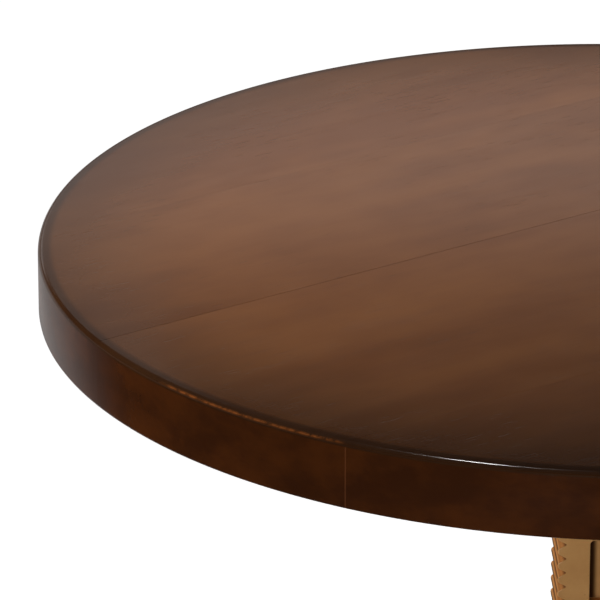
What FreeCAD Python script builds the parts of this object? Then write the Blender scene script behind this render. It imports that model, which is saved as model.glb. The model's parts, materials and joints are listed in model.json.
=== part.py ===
"""Adjustable side table: a round plank top on a toothed post, raised by a crank.

Millimetres, +Z up. The origin is on the floor under the centre of the top. The post's
front faces -Y and its teeth face -X. The table stands at the height of the photograph.
"""
import FreeCAD, Part
import math
import os
import re
import Sketcher

Vector = FreeCAD.Vector
Rotation = FreeCAD.Rotation
doc = FreeCAD.newDocument("AdjustableTable")

# Driving sizes in millimetres, apart from names ending in angle, count or teeth
SIZES = {
    # Top
    "top_height": 635.0,
    "top_radius": 240.0,
    "top_thickness": 28.0,
    "top_edge_chamfer": 1.6,
    "plank_joint_near": -104.0,
    "plank_joint_middle": 32.0,
    "plank_joint_far": 140.0,
    "plank_angle": 32.6,
    # Flange under the top
    "flange_radius": 78.0,
    "flange_thickness": 6.0,
    "flange_rim_round": 2.0,
    "flange_screw_circle": 62.0,
    "flange_screw_angle": 45.0,
    "flange_screw_count": 4,
    "socket_wall": 8.0,
    "socket_height": 34.0,
    "socket_clearance": 0.1,
    "socket_round": 4.0,
    "gusset_thickness": 7.0,
    "gusset_inset": 8.0,
    "gusset_foot": 8.0,
    # Wood screws
    "wood_screw_radius": 2.2,
    "wood_screw_head": 4.6,
    "wood_screw_length": 24.0,
    "wood_screw_slot": 1.4,
    "wood_screw_slot_depth": 1.2,
    "wood_screw_tip": 5.0,
    "pilot_clearance": 0.1,
    "pilot_spare": 1.0,
    # Toothed post
    "post_width": 55.2,
    "post_depth": 31.0,
    "post_length": 414.0,
    "tooth_pitch": 6.35,
    "notch_depth": 3.4,
    "notch_mouth": 4.3,
    "notch_root": 0.5,
    "first_notch": 13.7,
    "notch_count": 57,
    "recess_width": 28.4,
    "recess_height": 30.2,
    "recess_depth": 10.0,
    "recess_corner": 1.6,
    "recess_rib": 7.9,
    "recess_start": 23.1,
    "recess_count": 9,
    "post_edge_chamfer": 0.6,
    # Bolts that hold the post in the flange
    "post_bolt_radius": 4.0,
    "post_bolt_hole": 4.1,
    "post_bolt_spread": 14.0,
    "post_bolt_head": 7.2,
    "post_bolt_head_height": 5.3,
    "post_bolt_spare": 3.0,
    # Shoe at the foot of the post
    "shoe_thickness": 14.0,
    "shoe_clearance": 0.3,
    "shoe_chamfer": 1.5,
    "shoe_screw_radius": 2.5,
    "shoe_screw_spread": 19.0,
    "shoe_screw_head": 4.6,
    "shoe_screw_head_height": 3.0,
    "shoe_screw_grip": 16.0,
    "shoe_screw_sink": 5.0,
    # Pinion, counted so that one of its teeth points into a notch
    "pinion_notch_count": 27,
    "pinion_teeth": 12,
    "pinion_addendum": 1.2,
    "pinion_dedendum": 2.0,
    "pinion_backlash": 0.3,
    "pinion_width": 22.0,
    "pinion_hub": 9.2,
    "pinion_end_gap": 0.5,
    "key_width": 4.0,
    "key_height": 4.0,
    "key_length": 18.0,
    "key_clearance": 0.05,
    # Gear case
    "case_height": 76.0,
    "case_wall": 6.7,
    "case_corner_round": 7.0,
    "case_edge_round": 2.0,
    "chamber_gap": 1.7,
    "boss_wall": 7.5,
    "chamber_back": 12.0,
    "channel_gap": 1.0,
    "skirt_wall": 5.0,
    "skirt_height": 30.0,
    "skirt_cone": 16.0,
    "skirt_inset": 11.0,
    "tube_fit": 0.1,
    # Cover over the pinion
    "cover_thickness": 6.0,
    "cover_inset": 0.6,
    "cover_nose": 12.5,
    "cover_nose_radius": 12.5,
    "cover_nose_draft": 2.0,
    "cover_round": 1.2,
    "cover_screw_radius": 1.5,
    "cover_screw_head": 2.8,
    "cover_screw_head_height": 1.9,
    "cover_screw_length": 12.0,
    "cover_screw_count": 4,
    "cover_screw_angle": 45.0,
    "cover_screw_socket": 1.4,
    "cover_screw_socket_depth": 1.1,
    "screw_clearance": 0.1,
    # Bushes of the crank shaft
    "shaft_radius": 6.0,
    "shaft_clearance": 0.05,
    "bush_wall": 2.0,
    "bush_fit": 0.02,
    # Crank shaft, arm and grip
    "shaft_tail": 4.0,
    "ring_thickness": 1.2,
    "ring_gap": 0.6,
    "ring_play": 0.15,
    "ring_groove": 0.6,
    "ring_reach": 2.2,
    "ring_mouth": 3.4,
    "shaft_neck": 5.0,
    "shaft_stub": 4.0,
    "shaft_stub_length": 9.0,
    "arm_gap": 1.0,
    "arm_hub_radius": 13.0,
    "arm_hub_length": 15.0,
    "arm_thickness": 8.0,
    "arm_length": 80.0,
    "arm_end_radius": 9.5,
    "arm_hub_end_width": 10.0,
    "arm_groove_depth": 1.5,
    "arm_groove_wall": 3.4,
    "arm_taper_angle": 4.0,
    "arm_round": 1.4,
    "arm_fit": 0.05,
    "crank_rest_angle": -24.0,
    "washer_radius": 8.4,
    "washer_thickness": 1.6,
    "nut_radius": 7.5,
    "nut_height": 6.4,
    "nut_dome": 6.2,
    "nut_wall": 1.6,
    "nut_bore_spare": 0.4,
    "spindle_radius": 4.0,
    "spindle_clearance": 0.08,
    "spindle_head": 6.5,
    "spindle_head_height": 3.0,
    "spindle_slot": 1.4,
    "spindle_slot_depth": 1.4,
    "grip_gap": 0.6,
    "grip_length": 62.0,
    "grip_radius": 12.5,
    "grip_neck": 8.0,
    "grip_end": 9.5,
    "grip_sink": 4.0,
    "grip_belly": 37.2,
    "grip_neck_arc": 46.5,
    "grip_end_arc": 20.7,
    "ferrule_length": 9.0,
    "ferrule_radius": 9.4,
    "ferrule_cone": 3.0,
    "ferrule_lip": 2.2,
    # Liner and sleeve that guide the post
    "post_clearance": 0.3,
    "liner_wall": 3.0,
    "liner_depth": 18.0,
    "liner_lip": 3.0,
    "liner_lip_inset": 2.0,
    "liner_lip_chamfer": 1.0,
    "liner_fit": 0.1,
    "liner_screw_radius": 1.5,
    "liner_screw_head": 2.6,
    "liner_screw_head_height": 1.5,
    "liner_screw_slot": 0.7,
    "liner_screw_slot_depth": 0.8,
    "liner_screw_length": 10.0,
    "liner_screw_y": 12.0,
    "sleeve_fit": 0.15,
    "sleeve_length": 71.0,
    # Column, its set screws and the hub
    "column_radius": 38.0,
    "column_wall": 2.6,
    "set_screw_radius": 3.0,
    "set_screw_socket": 1.7,
    "set_screw_socket_depth": 2.6,
    "set_screw_bite": 4.0,
    "set_screw_sink": 0.5,
    "hub_low": 28.0,
    "hub_floor": 6.0,
    "hub_mouth": 26.0,
    "hub_radius": 60.0,
    "hub_flat": 52.0,
    "hub_shoulder": 96.0,
    "hub_top": 122.0,
    "hub_lip": 4.5,
    "hub_round": 60.0,
    "hub_rim_round": 2.0,
    "hub_screw_height": 112.0,
    # Legs and glides
    "leg_count": 4,
    "leg_first_angle": 0.0,
    "leg_pad_thickness": 9.0,
    "leg_pad_width": 50.0,
    "leg_pad_low": 30.0,
    "leg_pad_high": 104.0,
    "leg_pad_round": 5.0,
    "leg_web": 11.0,
    "leg_rail_width": 24.0,
    "leg_rail_thickness": 7.0,
    "leg_rail_high": 97.0,
    "leg_under_high": 40.0,
    "leg_reach": 204.0,
    "leg_top_arc": 245.0,
    "leg_under_arc": 260.0,
    "foot_radius": 18.0,
    "foot_low": 6.0,
    "foot_high": 21.0,
    "foot_round": 2.0,
    "leg_bolt_radius": 4.0,
    "leg_bolt_hole": 4.2,
    "leg_bolt_head": 6.0,
    "leg_bolt_head_height": 5.0,
    "leg_bolt_chamfer": 0.8,
    "leg_bolt_socket": 3.4,
    "leg_bolt_socket_depth": 2.8,
    "leg_bolt_spread": 18.6,
    "leg_bolt_low": 46.0,
    "leg_bolt_high": 88.0,
    "leg_bolt_length": 20.0,
    "glide_radius": 17.0,
    "glide_thickness": 6.0,
    "glide_chamfer": 1.2,
    "glide_stem": 4.0,
    "glide_stem_length": 10.0,
    "glide_fit": 0.1,
    # Lock screw, its knob and the brake pad
    "lock_drop": 10.0,
    "lock_boss_radius": 12.0,
    "lock_boss_length": 9.0,
    "stud_radius": 5.0,
    "stud_clearance": 0.08,
    "stud_reach": 32.0,
    "stud_chamfer": 1.0,
    "brake_radius": 8.0,
    "brake_thickness": 5.0,
    "brake_gap": 0.3,
    "knob_gap": 5.0,
    "knob_lobe_radius": 7.5,
    "knob_lobe_circle": 15.5,
    "knob_lobe_count": 5,
    "knob_height": 16.0,
    "knob_collar_radius": 9.5,
    "knob_collar_height": 6.0,
    "knob_chamfer": 2.0,
    # Overrun of cuts past the faces that they open
    "overrun": 4.0,
}

# Places and sizes that follow from the driving sizes, in the order in which they need each other
PLACES = {
    "underside": "top_height - top_thickness",
    "post_top": "underside - flange_thickness",
    "post_bottom": "post_top - post_length",
    "pinion_height": "post_bottom + first_notch + pinion_notch_count * tooth_pitch",
    "pitch_radius": "pinion_teeth * tooth_pitch / (2 * pi)",
    "pinion_outer": "pitch_radius + pinion_addendum",
    "pinion_x": "-(post_width / 2 - notch_depth / 2 + pitch_radius)",
    "case_top": "pinion_height + case_height / 2",
    "case_bottom": "pinion_height - case_height / 2",
    "liner_x": "post_width / 2 + post_clearance + liner_wall",
    "liner_y": "post_depth / 2 + post_clearance + liner_wall",
    "case_x": "liner_x + case_wall",
    "case_y": "liner_y + case_wall",
    "chamber_radius": "pinion_outer + chamber_gap",
    "boss_radius": "chamber_radius + boss_wall",
    "cover_radius": "boss_radius - cover_inset",
    "cover_screw_circle": "(chamber_radius + boss_radius) / 2",
    "cover_face": "case_y + cover_thickness",
    "nose_face": "cover_face + cover_nose",
    "bush_radius": "shaft_radius + shaft_clearance + bush_wall",
    "arm_back": "nose_face + arm_gap",
    "arm_face": "arm_back + arm_hub_length",
    "grip_back": "arm_face + grip_gap",
    "web_reach": "sqrt((case_x + pinion_x)^2 + (case_height / 2)^2)",
    "web_turn": "(acos(boss_radius / web_reach) + atan2(case_x + pinion_x; case_height / 2)) / 1 deg",
    "tube_inner": "column_radius - column_wall",
    "skirt_radius": "column_radius + tube_fit + skirt_wall",
    "skirt_screw_height": "case_bottom - skirt_height / 2",
    "column_bottom": "hub_low + hub_floor",
    "lock_height": "pinion_height - lock_drop",
    "lock_face": "case_x + lock_boss_length",
    "brake_back": "post_width / 2 + brake_gap + brake_thickness",
    "knob_back": "lock_face + knob_gap",
    "pad_face": "hub_flat + leg_pad_thickness",
}

sheet = doc.addObject("Spreadsheet::Sheet", "Sizes")
for row, (name, size) in enumerate(SIZES.items(), start=1):
    sheet.set("A%d" % row, name)
    sheet.set("B%d" % row, str(size))
    sheet.setAlias("B%d" % row, name)
doc.recompute()
places = doc.addObject("App::VarSet", "Places")
calculator = doc.addObject("App::VarSet", "Calculator")
calculator.addProperty("App::PropertyFloat", "reading")


def linked(text):
    """The expression with each named size and place written as the document knows it."""
    def owner(match):
        word = match.group()
        if word in SIZES:
            return "Sizes." + word
        return "Places." + word if word in PLACES else word
    return re.sub(r"[a-z][a-z_0-9]*", owner, text)


def number(text):
    """The present value of an expression in named sizes."""
    calculator.setExpression("reading", linked(text))
    calculator.recompute()
    return calculator.reading


def bind(item, prop, text):
    """Ties a property of a document object to an expression in named sizes."""
    item.setExpression(prop, linked(text))


for name, text in PLACES.items():
    places.addProperty("App::PropertyFloat", name)
    bind(places, name, text)
    places.recompute()

subparts = []


def name_subpart(item, label):
    """Names a finished sub-part, which also names its file."""
    item.Label = label
    subparts.append(item)
    return item


def set_place(item, x="0", y="0", z="0", turn=None):
    """Turns an object and puts its origin at a place in named sizes."""
    if turn:
        item.Placement = FreeCAD.Placement(Vector(), turn)
    for axis, text in zip("xyz", (x, y, z)):
        if text != "0":
            bind(item, "Placement.Base." + axis, text)


def box_path(low_x, high_x, low_y, high_y):
    """Four corners of a rectangle, anticlockwise."""
    return [(low_x, low_y), (high_x, low_y), (high_x, high_y), (low_x, high_y)]


def round_box_path(half_x, low_y, high_y, corner):
    """A rectangle centred on x = 0, with quarter rounds at its corners."""
    inner_x = "%s - %s" % (half_x, corner)
    inner_low = "%s + %s" % (low_y, corner)
    inner_high = "%s - %s" % (high_y, corner)
    return [
        ("-(%s)" % inner_x, low_y), (inner_x, low_y, corner, 1),
        (half_x, inner_low), (half_x, inner_high, corner, 1),
        (inner_x, high_y), ("-(%s)" % inner_x, high_y, corner, 1),
        ("-(%s)" % half_x, inner_high), ("-(%s)" % half_x, inner_low, corner, 1),
    ]


def hexagon_path(radius):
    """Six corners at a radius, anticlockwise."""
    return [("%s * cos(%d)" % (radius, turn), "%s * sin(%d)" % (radius, turn))
            for turn in range(0, 360, 60)]


def pin_point(sketch, geometry, point, x, y):
    """Holds a point of a sketch at a place given in named sizes."""
    for kind, text in (("DistanceX", x), ("DistanceY", y)):
        rule = Sketcher.Constraint(kind, -1, 1, geometry, point, number(text))
        index = sketch.addConstraint(rule)
        bind(sketch, "Constraints[%d]" % index, text)


def draw_circle(sketch, x, y, radius):
    """A circle with its centre and radius held by named sizes."""
    circle = Part.Circle(Vector(number(x), number(y), 0), Vector(0, 0, 1), number(radius))
    geometry = sketch.addGeometry(circle, False)
    pin_point(sketch, geometry, 3, x, y)
    index = sketch.addConstraint(Sketcher.Constraint("Radius", geometry, number(radius)))
    bind(sketch, "Constraints[%d]" % index, radius)


def draw_path(sketch, corners):
    """A closed outline through corners (x, y), each followed by a straight edge.

    A corner (x, y, radius, side) is followed by an arc of that radius, which bulges to the
    right of the way the outline runs where side is 1, and to the left where it is -1.
    """
    points = [Vector(number(corner[0]), number(corner[1]), 0) for corner in corners]
    edges = []
    for corner, start, end in zip(corners, points, points[1:] + points[:1]):
        if len(corner) == 2:
            shape = Part.LineSegment(start, end)
        else:
            chord = end - start
            radius = number(corner[2])
            rise = radius - math.sqrt(radius ** 2 - (chord.Length / 2) ** 2)
            across = Vector(chord.y, -chord.x, 0).normalize() * rise * corner[3]
            shape = Part.Arc(start, (start + end) / 2 + across, end)
        geometry = sketch.addGeometry(shape, False)
        forward = sketch.getPoint(geometry, 1).distanceToPoint(start) < chord_slack(start, end)
        edges.append((geometry, 1, 2) if forward else (geometry, 2, 1))
        pin_point(sketch, geometry, edges[-1][1], corner[0], corner[1])
        if len(corner) > 2:
            index = sketch.addConstraint(Sketcher.Constraint("Radius", geometry, radius))
            bind(sketch, "Constraints[%d]" % index, corner[2])
    for edge, following in zip(edges, edges[1:] + edges[:1]):
        rule = Sketcher.Constraint("Coincident", edge[0], edge[2], following[0], following[1])
        sketch.addConstraint(rule)


def chord_slack(start, end):
    """Half the way between two points, to tell one end of an edge from the other."""
    return start.distanceToPoint(end) / 2


class Piece:
    """One rigid piece, built by features that follow each other in one body.

    Each flat feature is drawn on an origin plane moved along its normal to a starting
    level, and grows or cuts along that normal. The normal of XY_Plane is +Z, of YZ_Plane
    +X, and of XZ_Plane -Y, so there a level counts towards the front.
    """

    def __init__(self, label, x="0", y="0", z="0", turn=None, keep=True):
        self.body = doc.addObject("PartDesign::Body", label)
        self.last = None
        self.sketch = None
        set_place(self.body, x, y, z, turn)
        if keep:
            name_subpart(self.body, label)

    def draw(self, plane, level, *outlines):
        """A sketch of closed outlines on an origin plane moved to a level."""
        sketch = self.body.newObject("Sketcher::SketchObject", self.body.Name + "_outline")
        support = next(item for item in self.body.Origin.OriginFeatures if item.Role == plane)
        sketch.AttachmentSupport = [(support, "")]
        sketch.MapMode = "FlatFace"
        if level != "0":
            bind(sketch, "AttachmentOffset.Base.z", level)
        for outline in outlines:
            if isinstance(outline, tuple):
                draw_circle(sketch, *outline)
            else:
                draw_path(sketch, outline)
        self.sketch = sketch
        return sketch

    def settle(self, feature, grows):
        """Recomputes, and makes sure that the feature did add or take away material."""
        before = self.last.Shape.Volume if self.last else 0.0
        doc.recompute()
        change = feature.Shape.Volume - before
        if not (change > 0 if grows else change < 0):
            raise ValueError("%s changed nothing in %s" % (feature.Name, self.body.Label))
        self.last = feature
        self.body.Tip = feature
        return self

    def pad(self, plane, level, length, *outlines):
        """Adds material from a level along the plane's normal."""
        sketch = self.draw(plane, level, *outlines)
        feature = self.body.newObject("PartDesign::Pad", self.body.Name + "_pad")
        feature.Profile = sketch
        bind(feature, "Length", length)
        return self.settle(feature, True)

    def pocket(self, plane, level, length, *outlines):
        """Takes material away from a level along the plane's normal."""
        sketch = self.draw(plane, level, *outlines)
        feature = self.body.newObject("PartDesign::Pocket", self.body.Name + "_pocket")
        feature.Profile = sketch
        feature.Reversed = True
        bind(feature, "Length", length)
        return self.settle(feature, False)

    def turned(self, outline, kind="Revolution"):
        """A full turn of a profile about Z: x of the profile is the radius, y the height."""
        sketch = self.draw("XZ_Plane", "0", outline)
        feature = self.body.newObject("PartDesign::" + kind, self.body.Name + "_turned")
        feature.Profile = sketch
        feature.ReferenceAxis = (sketch, ["V_Axis"])
        feature.Angle = 360
        return self.settle(feature, kind == "Revolution")

    def row(self, axis, length, count, grows=False):
        """Repeats the last feature along an axis of its sketch."""
        feature = self.body.newObject("PartDesign::LinearPattern", self.body.Name + "_row")
        feature.Originals = [self.last]
        feature.Direction = (self.sketch, [axis])
        bind(feature, "Length", length)
        bind(feature, "Occurrences", count)
        return self.settle(feature, grows)

    def ring(self, count, grows=False):
        """Repeats the last feature around the Z axis of the body."""
        feature = self.body.newObject("PartDesign::PolarPattern", self.body.Name + "_ring")
        feature.Originals = [self.last]
        upright = next(item for item in self.body.Origin.OriginFeatures if item.Role == "Z_Axis")
        feature.Axis = (upright, [""])
        feature.Angle = 360
        bind(feature, "Occurrences", count)
        return self.settle(feature, grows)

    def soften(self, radius, choose, kind="Fillet"):
        """Rounds or chamfers the edges that a test picks, in the body's own frame."""
        names = ["Edge%d" % index for index, edge in enumerate(self.last.Shape.Edges, start=1)
                 if choose(edge.CenterOfMass, edge)]
        if not names:
            raise ValueError("no edge to soften in " + self.body.Label)
        feature = self.body.newObject("PartDesign::" + kind, self.body.Name + "_soft")
        feature.Base = (self.last, names)
        bind(feature, "Size" if kind == "Chamfer" else "Radius", radius)
        doc.recompute()
        self.last = feature
        self.body.Tip = feature
        return self


def group(label, piece, spots):
    """Several pieces alike in one sub-part, at spots (x, y, z, turn) in named sizes."""
    copies = []
    for x, y, z, turn in spots:
        copy = doc.addObject("App::Link", piece.body.Name + "_copy")
        copy.LinkedObject = piece.body
        copy.LinkTransform = True
        set_place(copy, x, y, z, turn)
        copies.append(copy)
    compound = doc.addObject("Part::Compound", label)
    compound.Links = copies
    return name_subpart(compound, label)


def level_edges(*levels):
    """A test that picks edges which lie flat at one of the levels."""
    heights = [number(level) for level in levels]

    def choose(centre, edge):
        box = edge.BoundBox
        return any(abs(box.ZMin - height) + abs(box.ZMax - height) < 1e-4 for height in heights)
    return choose


def front_edges(*levels):
    """A test that picks edges which lie in a plane at one of the distances to the front."""
    heights = [number(level) for level in levels]

    def choose(centre, edge):
        box = edge.BoundBox
        return any(abs(box.YMin + height) + abs(box.YMax + height) < 1e-4 for height in heights)
    return choose


def upright_edges(half_x, half_y):
    """A test that picks the upright corner edges of a block."""
    reach_x = number(half_x)
    reach_y = number(half_y)

    def choose(centre, edge):
        upright = edge.BoundBox.XLength + edge.BoundBox.YLength < 1e-4
        return upright and abs(abs(centre.x) - reach_x) + abs(abs(centre.y) - reach_y) < 1e-4
    return choose


def along(turn):
    """Point on a circle as x and y shares, for a turn in degrees."""
    return "cos(%s)" % turn, "sin(%s)" % turn


TO_FRONT = Rotation(Vector(1, 0, 0), 90)
TO_RIGHT = Rotation(Vector(0, 1, 0), 90)
UPSIDE_DOWN = Rotation(Vector(1, 0, 0), 180)


def plank_top():
    """Four planks, edge to edge, cut to a round top with a softened rim."""
    blank = Piece("top_blank", z="underside", keep=False)
    blank.pad("XY_Plane", "0", "top_thickness", ("0", "0", "top_radius"))
    blank.soften("top_edge_chamfer", level_edges("0", "top_thickness"), "Chamfer")
    x, y = along("flange_screw_angle")
    blank.pocket("XY_Plane", "0", "wood_screw_length - flange_thickness + pilot_spare",
                 ("flange_screw_circle * " + x, "flange_screw_circle * " + y,
                  "wood_screw_radius + pilot_clearance"))
    blank.ring("flange_screw_count")
    edges = ["-top_radius - overrun", "plank_joint_near", "plank_joint_middle",
             "plank_joint_far", "top_radius + overrun"]
    for index, (low, high) in enumerate(zip(edges, edges[1:]), start=1):
        board = doc.addObject("Part::Box", "board_%d" % index)
        bind(board, "Length", "2 * (top_radius + overrun)")
        bind(board, "Width", "(%s) - (%s)" % (high, low))
        bind(board, "Height", "top_thickness")
        bind(board, "Placement.Rotation.Angle", "plank_angle")
        bind(board, "Placement.Base.x",
             "-(top_radius + overrun) * cos(plank_angle) - (%s) * sin(plank_angle)" % low)
        bind(board, "Placement.Base.y",
             "-(top_radius + overrun) * sin(plank_angle) + (%s) * cos(plank_angle)" % low)
        bind(board, "Placement.Base.z", "underside")
        plank = doc.addObject("Part::Common", "plank_%d" % index)
        plank.Base = blank.body
        plank.Tool = board
        name_subpart(plank, "top_plank_%d" % index)


def top_flange():
    """Cast plate under the top, with a socket for the post and four gussets."""
    flange = Piece("top_flange", z="underside")
    flange.pad("XY_Plane", "-flange_thickness", "flange_thickness", ("0", "0", "flange_radius"))
    flange.soften("flange_rim_round", level_edges("-flange_thickness"))
    wide = "post_width / 2 + socket_wall"
    deep = "post_depth / 2 + socket_wall"
    low = "-(flange_thickness + socket_height)"
    flange.pad("XY_Plane", low, "socket_height + flange_thickness / 2",
               box_path("-(%s)" % wide, wide, "-(%s)" % deep, deep))
    flange.soften("socket_round", upright_edges(wide, deep))
    rim = "flange_radius - gusset_inset"
    for side, plane, root in (("", "XZ_Plane", wide), ("-", "XZ_Plane", wide),
                              ("", "YZ_Plane", deep), ("-", "YZ_Plane", deep)):
        inner = "%s(%s - socket_round)" % (side, root)
        outer = "%s(%s)" % (side, rim)
        web = [(inner, low + " + gusset_foot"), (outer, "-flange_thickness"),
               (outer, "-flange_thickness / 2"), (inner, "-flange_thickness / 2")]
        if side:
            web.reverse()
        flange.pad(plane, "-gusset_thickness / 2", "gusset_thickness", web)
    fit_x = "post_width / 2 + socket_clearance"
    fit_y = "post_depth / 2 + socket_clearance"
    flange.pocket("XY_Plane", low + " - overrun", "socket_height + overrun",
                  box_path("-(%s)" % fit_x, fit_x, "-(%s)" % fit_y, fit_y))
    x, y = along("flange_screw_angle")
    flange.pocket("XY_Plane", "-flange_thickness - overrun", "flange_thickness + 2 * overrun",
                  ("flange_screw_circle * " + x, "flange_screw_circle * " + y,
                   "wood_screw_radius + pilot_clearance"))
    flange.ring("flange_screw_count")
    sink = number("wood_screw_radius + pilot_clearance")
    low_level = number("-flange_thickness")
    flange.soften("wood_screw_head - wood_screw_radius",
                  lambda centre, edge: abs(centre.z - low_level) < 1e-4 and
                  hasattr(edge.Curve, "Radius") and abs(edge.Curve.Radius - sink) < 1e-4,
                  "Chamfer")
    drop = "-(flange_thickness + socket_height / 2)"
    for side in ("post_bolt_spread", "-post_bolt_spread"):
        flange.pocket("XZ_Plane", "-(%s) - overrun" % deep, "2 * (%s + overrun)" % deep,
                      (side, drop, "post_bolt_hole"))


def wood_screw():
    """Slotted countersunk screw that points up, its head face at z = 0."""
    screw = Piece("wood_screw", keep=False)
    cone = "wood_screw_head - wood_screw_radius"
    screw.turned([("0", "0"), ("wood_screw_head", "0"), ("wood_screw_radius", cone),
                  ("wood_screw_radius", "wood_screw_length - wood_screw_tip"),
                  ("0", "wood_screw_length")])
    screw.pocket("XY_Plane", "-overrun", "overrun + wood_screw_slot_depth",
                 box_path("-wood_screw_head", "wood_screw_head",
                          "-wood_screw_slot / 2", "wood_screw_slot / 2"))
    return screw


def flange_screws():
    """Wood screws up through the flange into the planks."""
    spots = []
    for index in range(SIZES["flange_screw_count"]):
        turn = "(flange_screw_angle + 360 * %d / flange_screw_count)" % index
        x, y = along(turn)
        spots.append(("flange_screw_circle * " + x, "flange_screw_circle * " + y,
                      "underside - flange_thickness", None))
    group("flange_screws", wood_screw(), spots)


def rack_post():
    """Cast bar with rack teeth down its left edge and rows of recesses front and back."""
    post = Piece("rack_post", z="post_bottom")
    post.pad("XZ_Plane", "-post_depth / 2", "post_depth",
             box_path("-post_width / 2", "post_width / 2", "0", "post_length"))
    right = number("post_width / 2")
    depth = number("post_depth / 2")
    post.soften("post_edge_chamfer", lambda centre, edge: abs(centre.x - right) < 1e-4 and
                abs(abs(centre.y) - depth) < 1e-4, "Chamfer")
    for level, way in (("post_depth / 2 - recess_depth", 1), ("-post_depth / 2 - overrun", -1)):
        post.pocket("XZ_Plane", level, "recess_depth + overrun",
                    round_box_path("recess_width / 2", "recess_start",
                                   "recess_start + recess_height", "recess_corner"))
        post.row("V_Axis", "(recess_count - 1) * (recess_height + recess_rib)", "recess_count")
    crest = "-post_width / 2"
    root = "-post_width / 2 + notch_depth"
    post.pocket("XZ_Plane", "-post_depth / 2 - overrun", "post_depth + 2 * overrun",
                [(crest, "first_notch - notch_mouth / 2"), (root, "first_notch - notch_root / 2"),
                 (root, "first_notch + notch_root / 2"), (crest, "first_notch + notch_mouth / 2")])
    post.row("V_Axis", "(notch_count - 1) * tooth_pitch", "notch_count")
    for side in ("post_bolt_spread", "-post_bolt_spread"):
        post.pocket("XZ_Plane", "-post_depth / 2 - overrun", "post_depth + 2 * overrun",
                    (side, "post_length - socket_height / 2", "post_bolt_hole"))
    for side in ("shoe_screw_spread", "-shoe_screw_spread"):
        post.pocket("XY_Plane", "-overrun", "overrun + shoe_screw_grip",
                    (side, "0", "shoe_screw_radius + pilot_clearance"))


def hex_bolt():
    """Hexagon bolt along Z: the head's seat is at z = 0 and the shank points down."""
    bolt = Piece("hex_bolt", keep=False)
    length = "post_depth + 2 * socket_wall + post_bolt_head_height + post_bolt_spare"
    bolt.pad("XY_Plane", "-(%s)" % length, length, ("0", "0", "post_bolt_radius"))
    bolt.pad("XY_Plane", "0", "post_bolt_head_height", hexagon_path("post_bolt_head"))
    return bolt


def hex_nut():
    """Hexagon nut along Z, its seat at z = 0."""
    nut = Piece("hex_nut", keep=False)
    nut.pad("XY_Plane", "0", "post_bolt_head_height", hexagon_path("post_bolt_head"),
            ("0", "0", "post_bolt_hole"))
    return nut


def post_bolts():
    """Two bolts and nuts through the socket and the post."""
    height = "post_top - socket_height / 2"
    face = "post_depth / 2 + socket_wall"
    to_back = Rotation(Vector(1, 0, 0), -90)
    sides = ("-post_bolt_spread", "post_bolt_spread")
    bolt = hex_bolt()
    nut = hex_nut()
    group("post_bolts", bolt, [(side, "-(%s)" % face, height, TO_FRONT) for side in sides])
    group("post_nuts", nut, [(side, face, height, to_back) for side in sides])


def post_shoe():
    """Round shoe on the foot of the post, which slides in the column and stops the lift."""
    shoe = Piece("post_shoe", z="post_bottom - shoe_thickness")
    shoe.pad("XY_Plane", "0", "shoe_thickness", ("0", "0", "tube_inner - shoe_clearance"))
    shoe.soften("shoe_chamfer", level_edges("0", "shoe_thickness"), "Chamfer")
    for side in ("shoe_screw_spread", "-shoe_screw_spread"):
        shoe.pocket("XY_Plane", "-overrun", "shoe_thickness + 2 * overrun",
                    (side, "0", "shoe_screw_radius + pilot_clearance"))
        shoe.pocket("XY_Plane", "-overrun", "overrun + shoe_screw_sink",
                    (side, "0", "shoe_screw_head + screw_clearance"))
    screw = Piece("shoe_screw", keep=False)
    grip = "shoe_thickness - shoe_screw_sink + shoe_screw_grip - screw_clearance"
    screw.pad("XY_Plane", "0", "shoe_screw_head_height", ("0", "0", "shoe_screw_head"))
    screw.pad("XY_Plane", "-(%s)" % grip, grip, ("0", "0", "shoe_screw_radius"))
    screw.pocket("XY_Plane", "shoe_screw_head_height / 2", "shoe_screw_head_height",
                 hexagon_path("shoe_screw_radius"))
    group("shoe_screws", screw, [
        (side, "0", "post_bottom - shoe_thickness + shoe_screw_sink", UPSIDE_DOWN)
        for side in ("-shoe_screw_spread", "shoe_screw_spread")])


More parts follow.
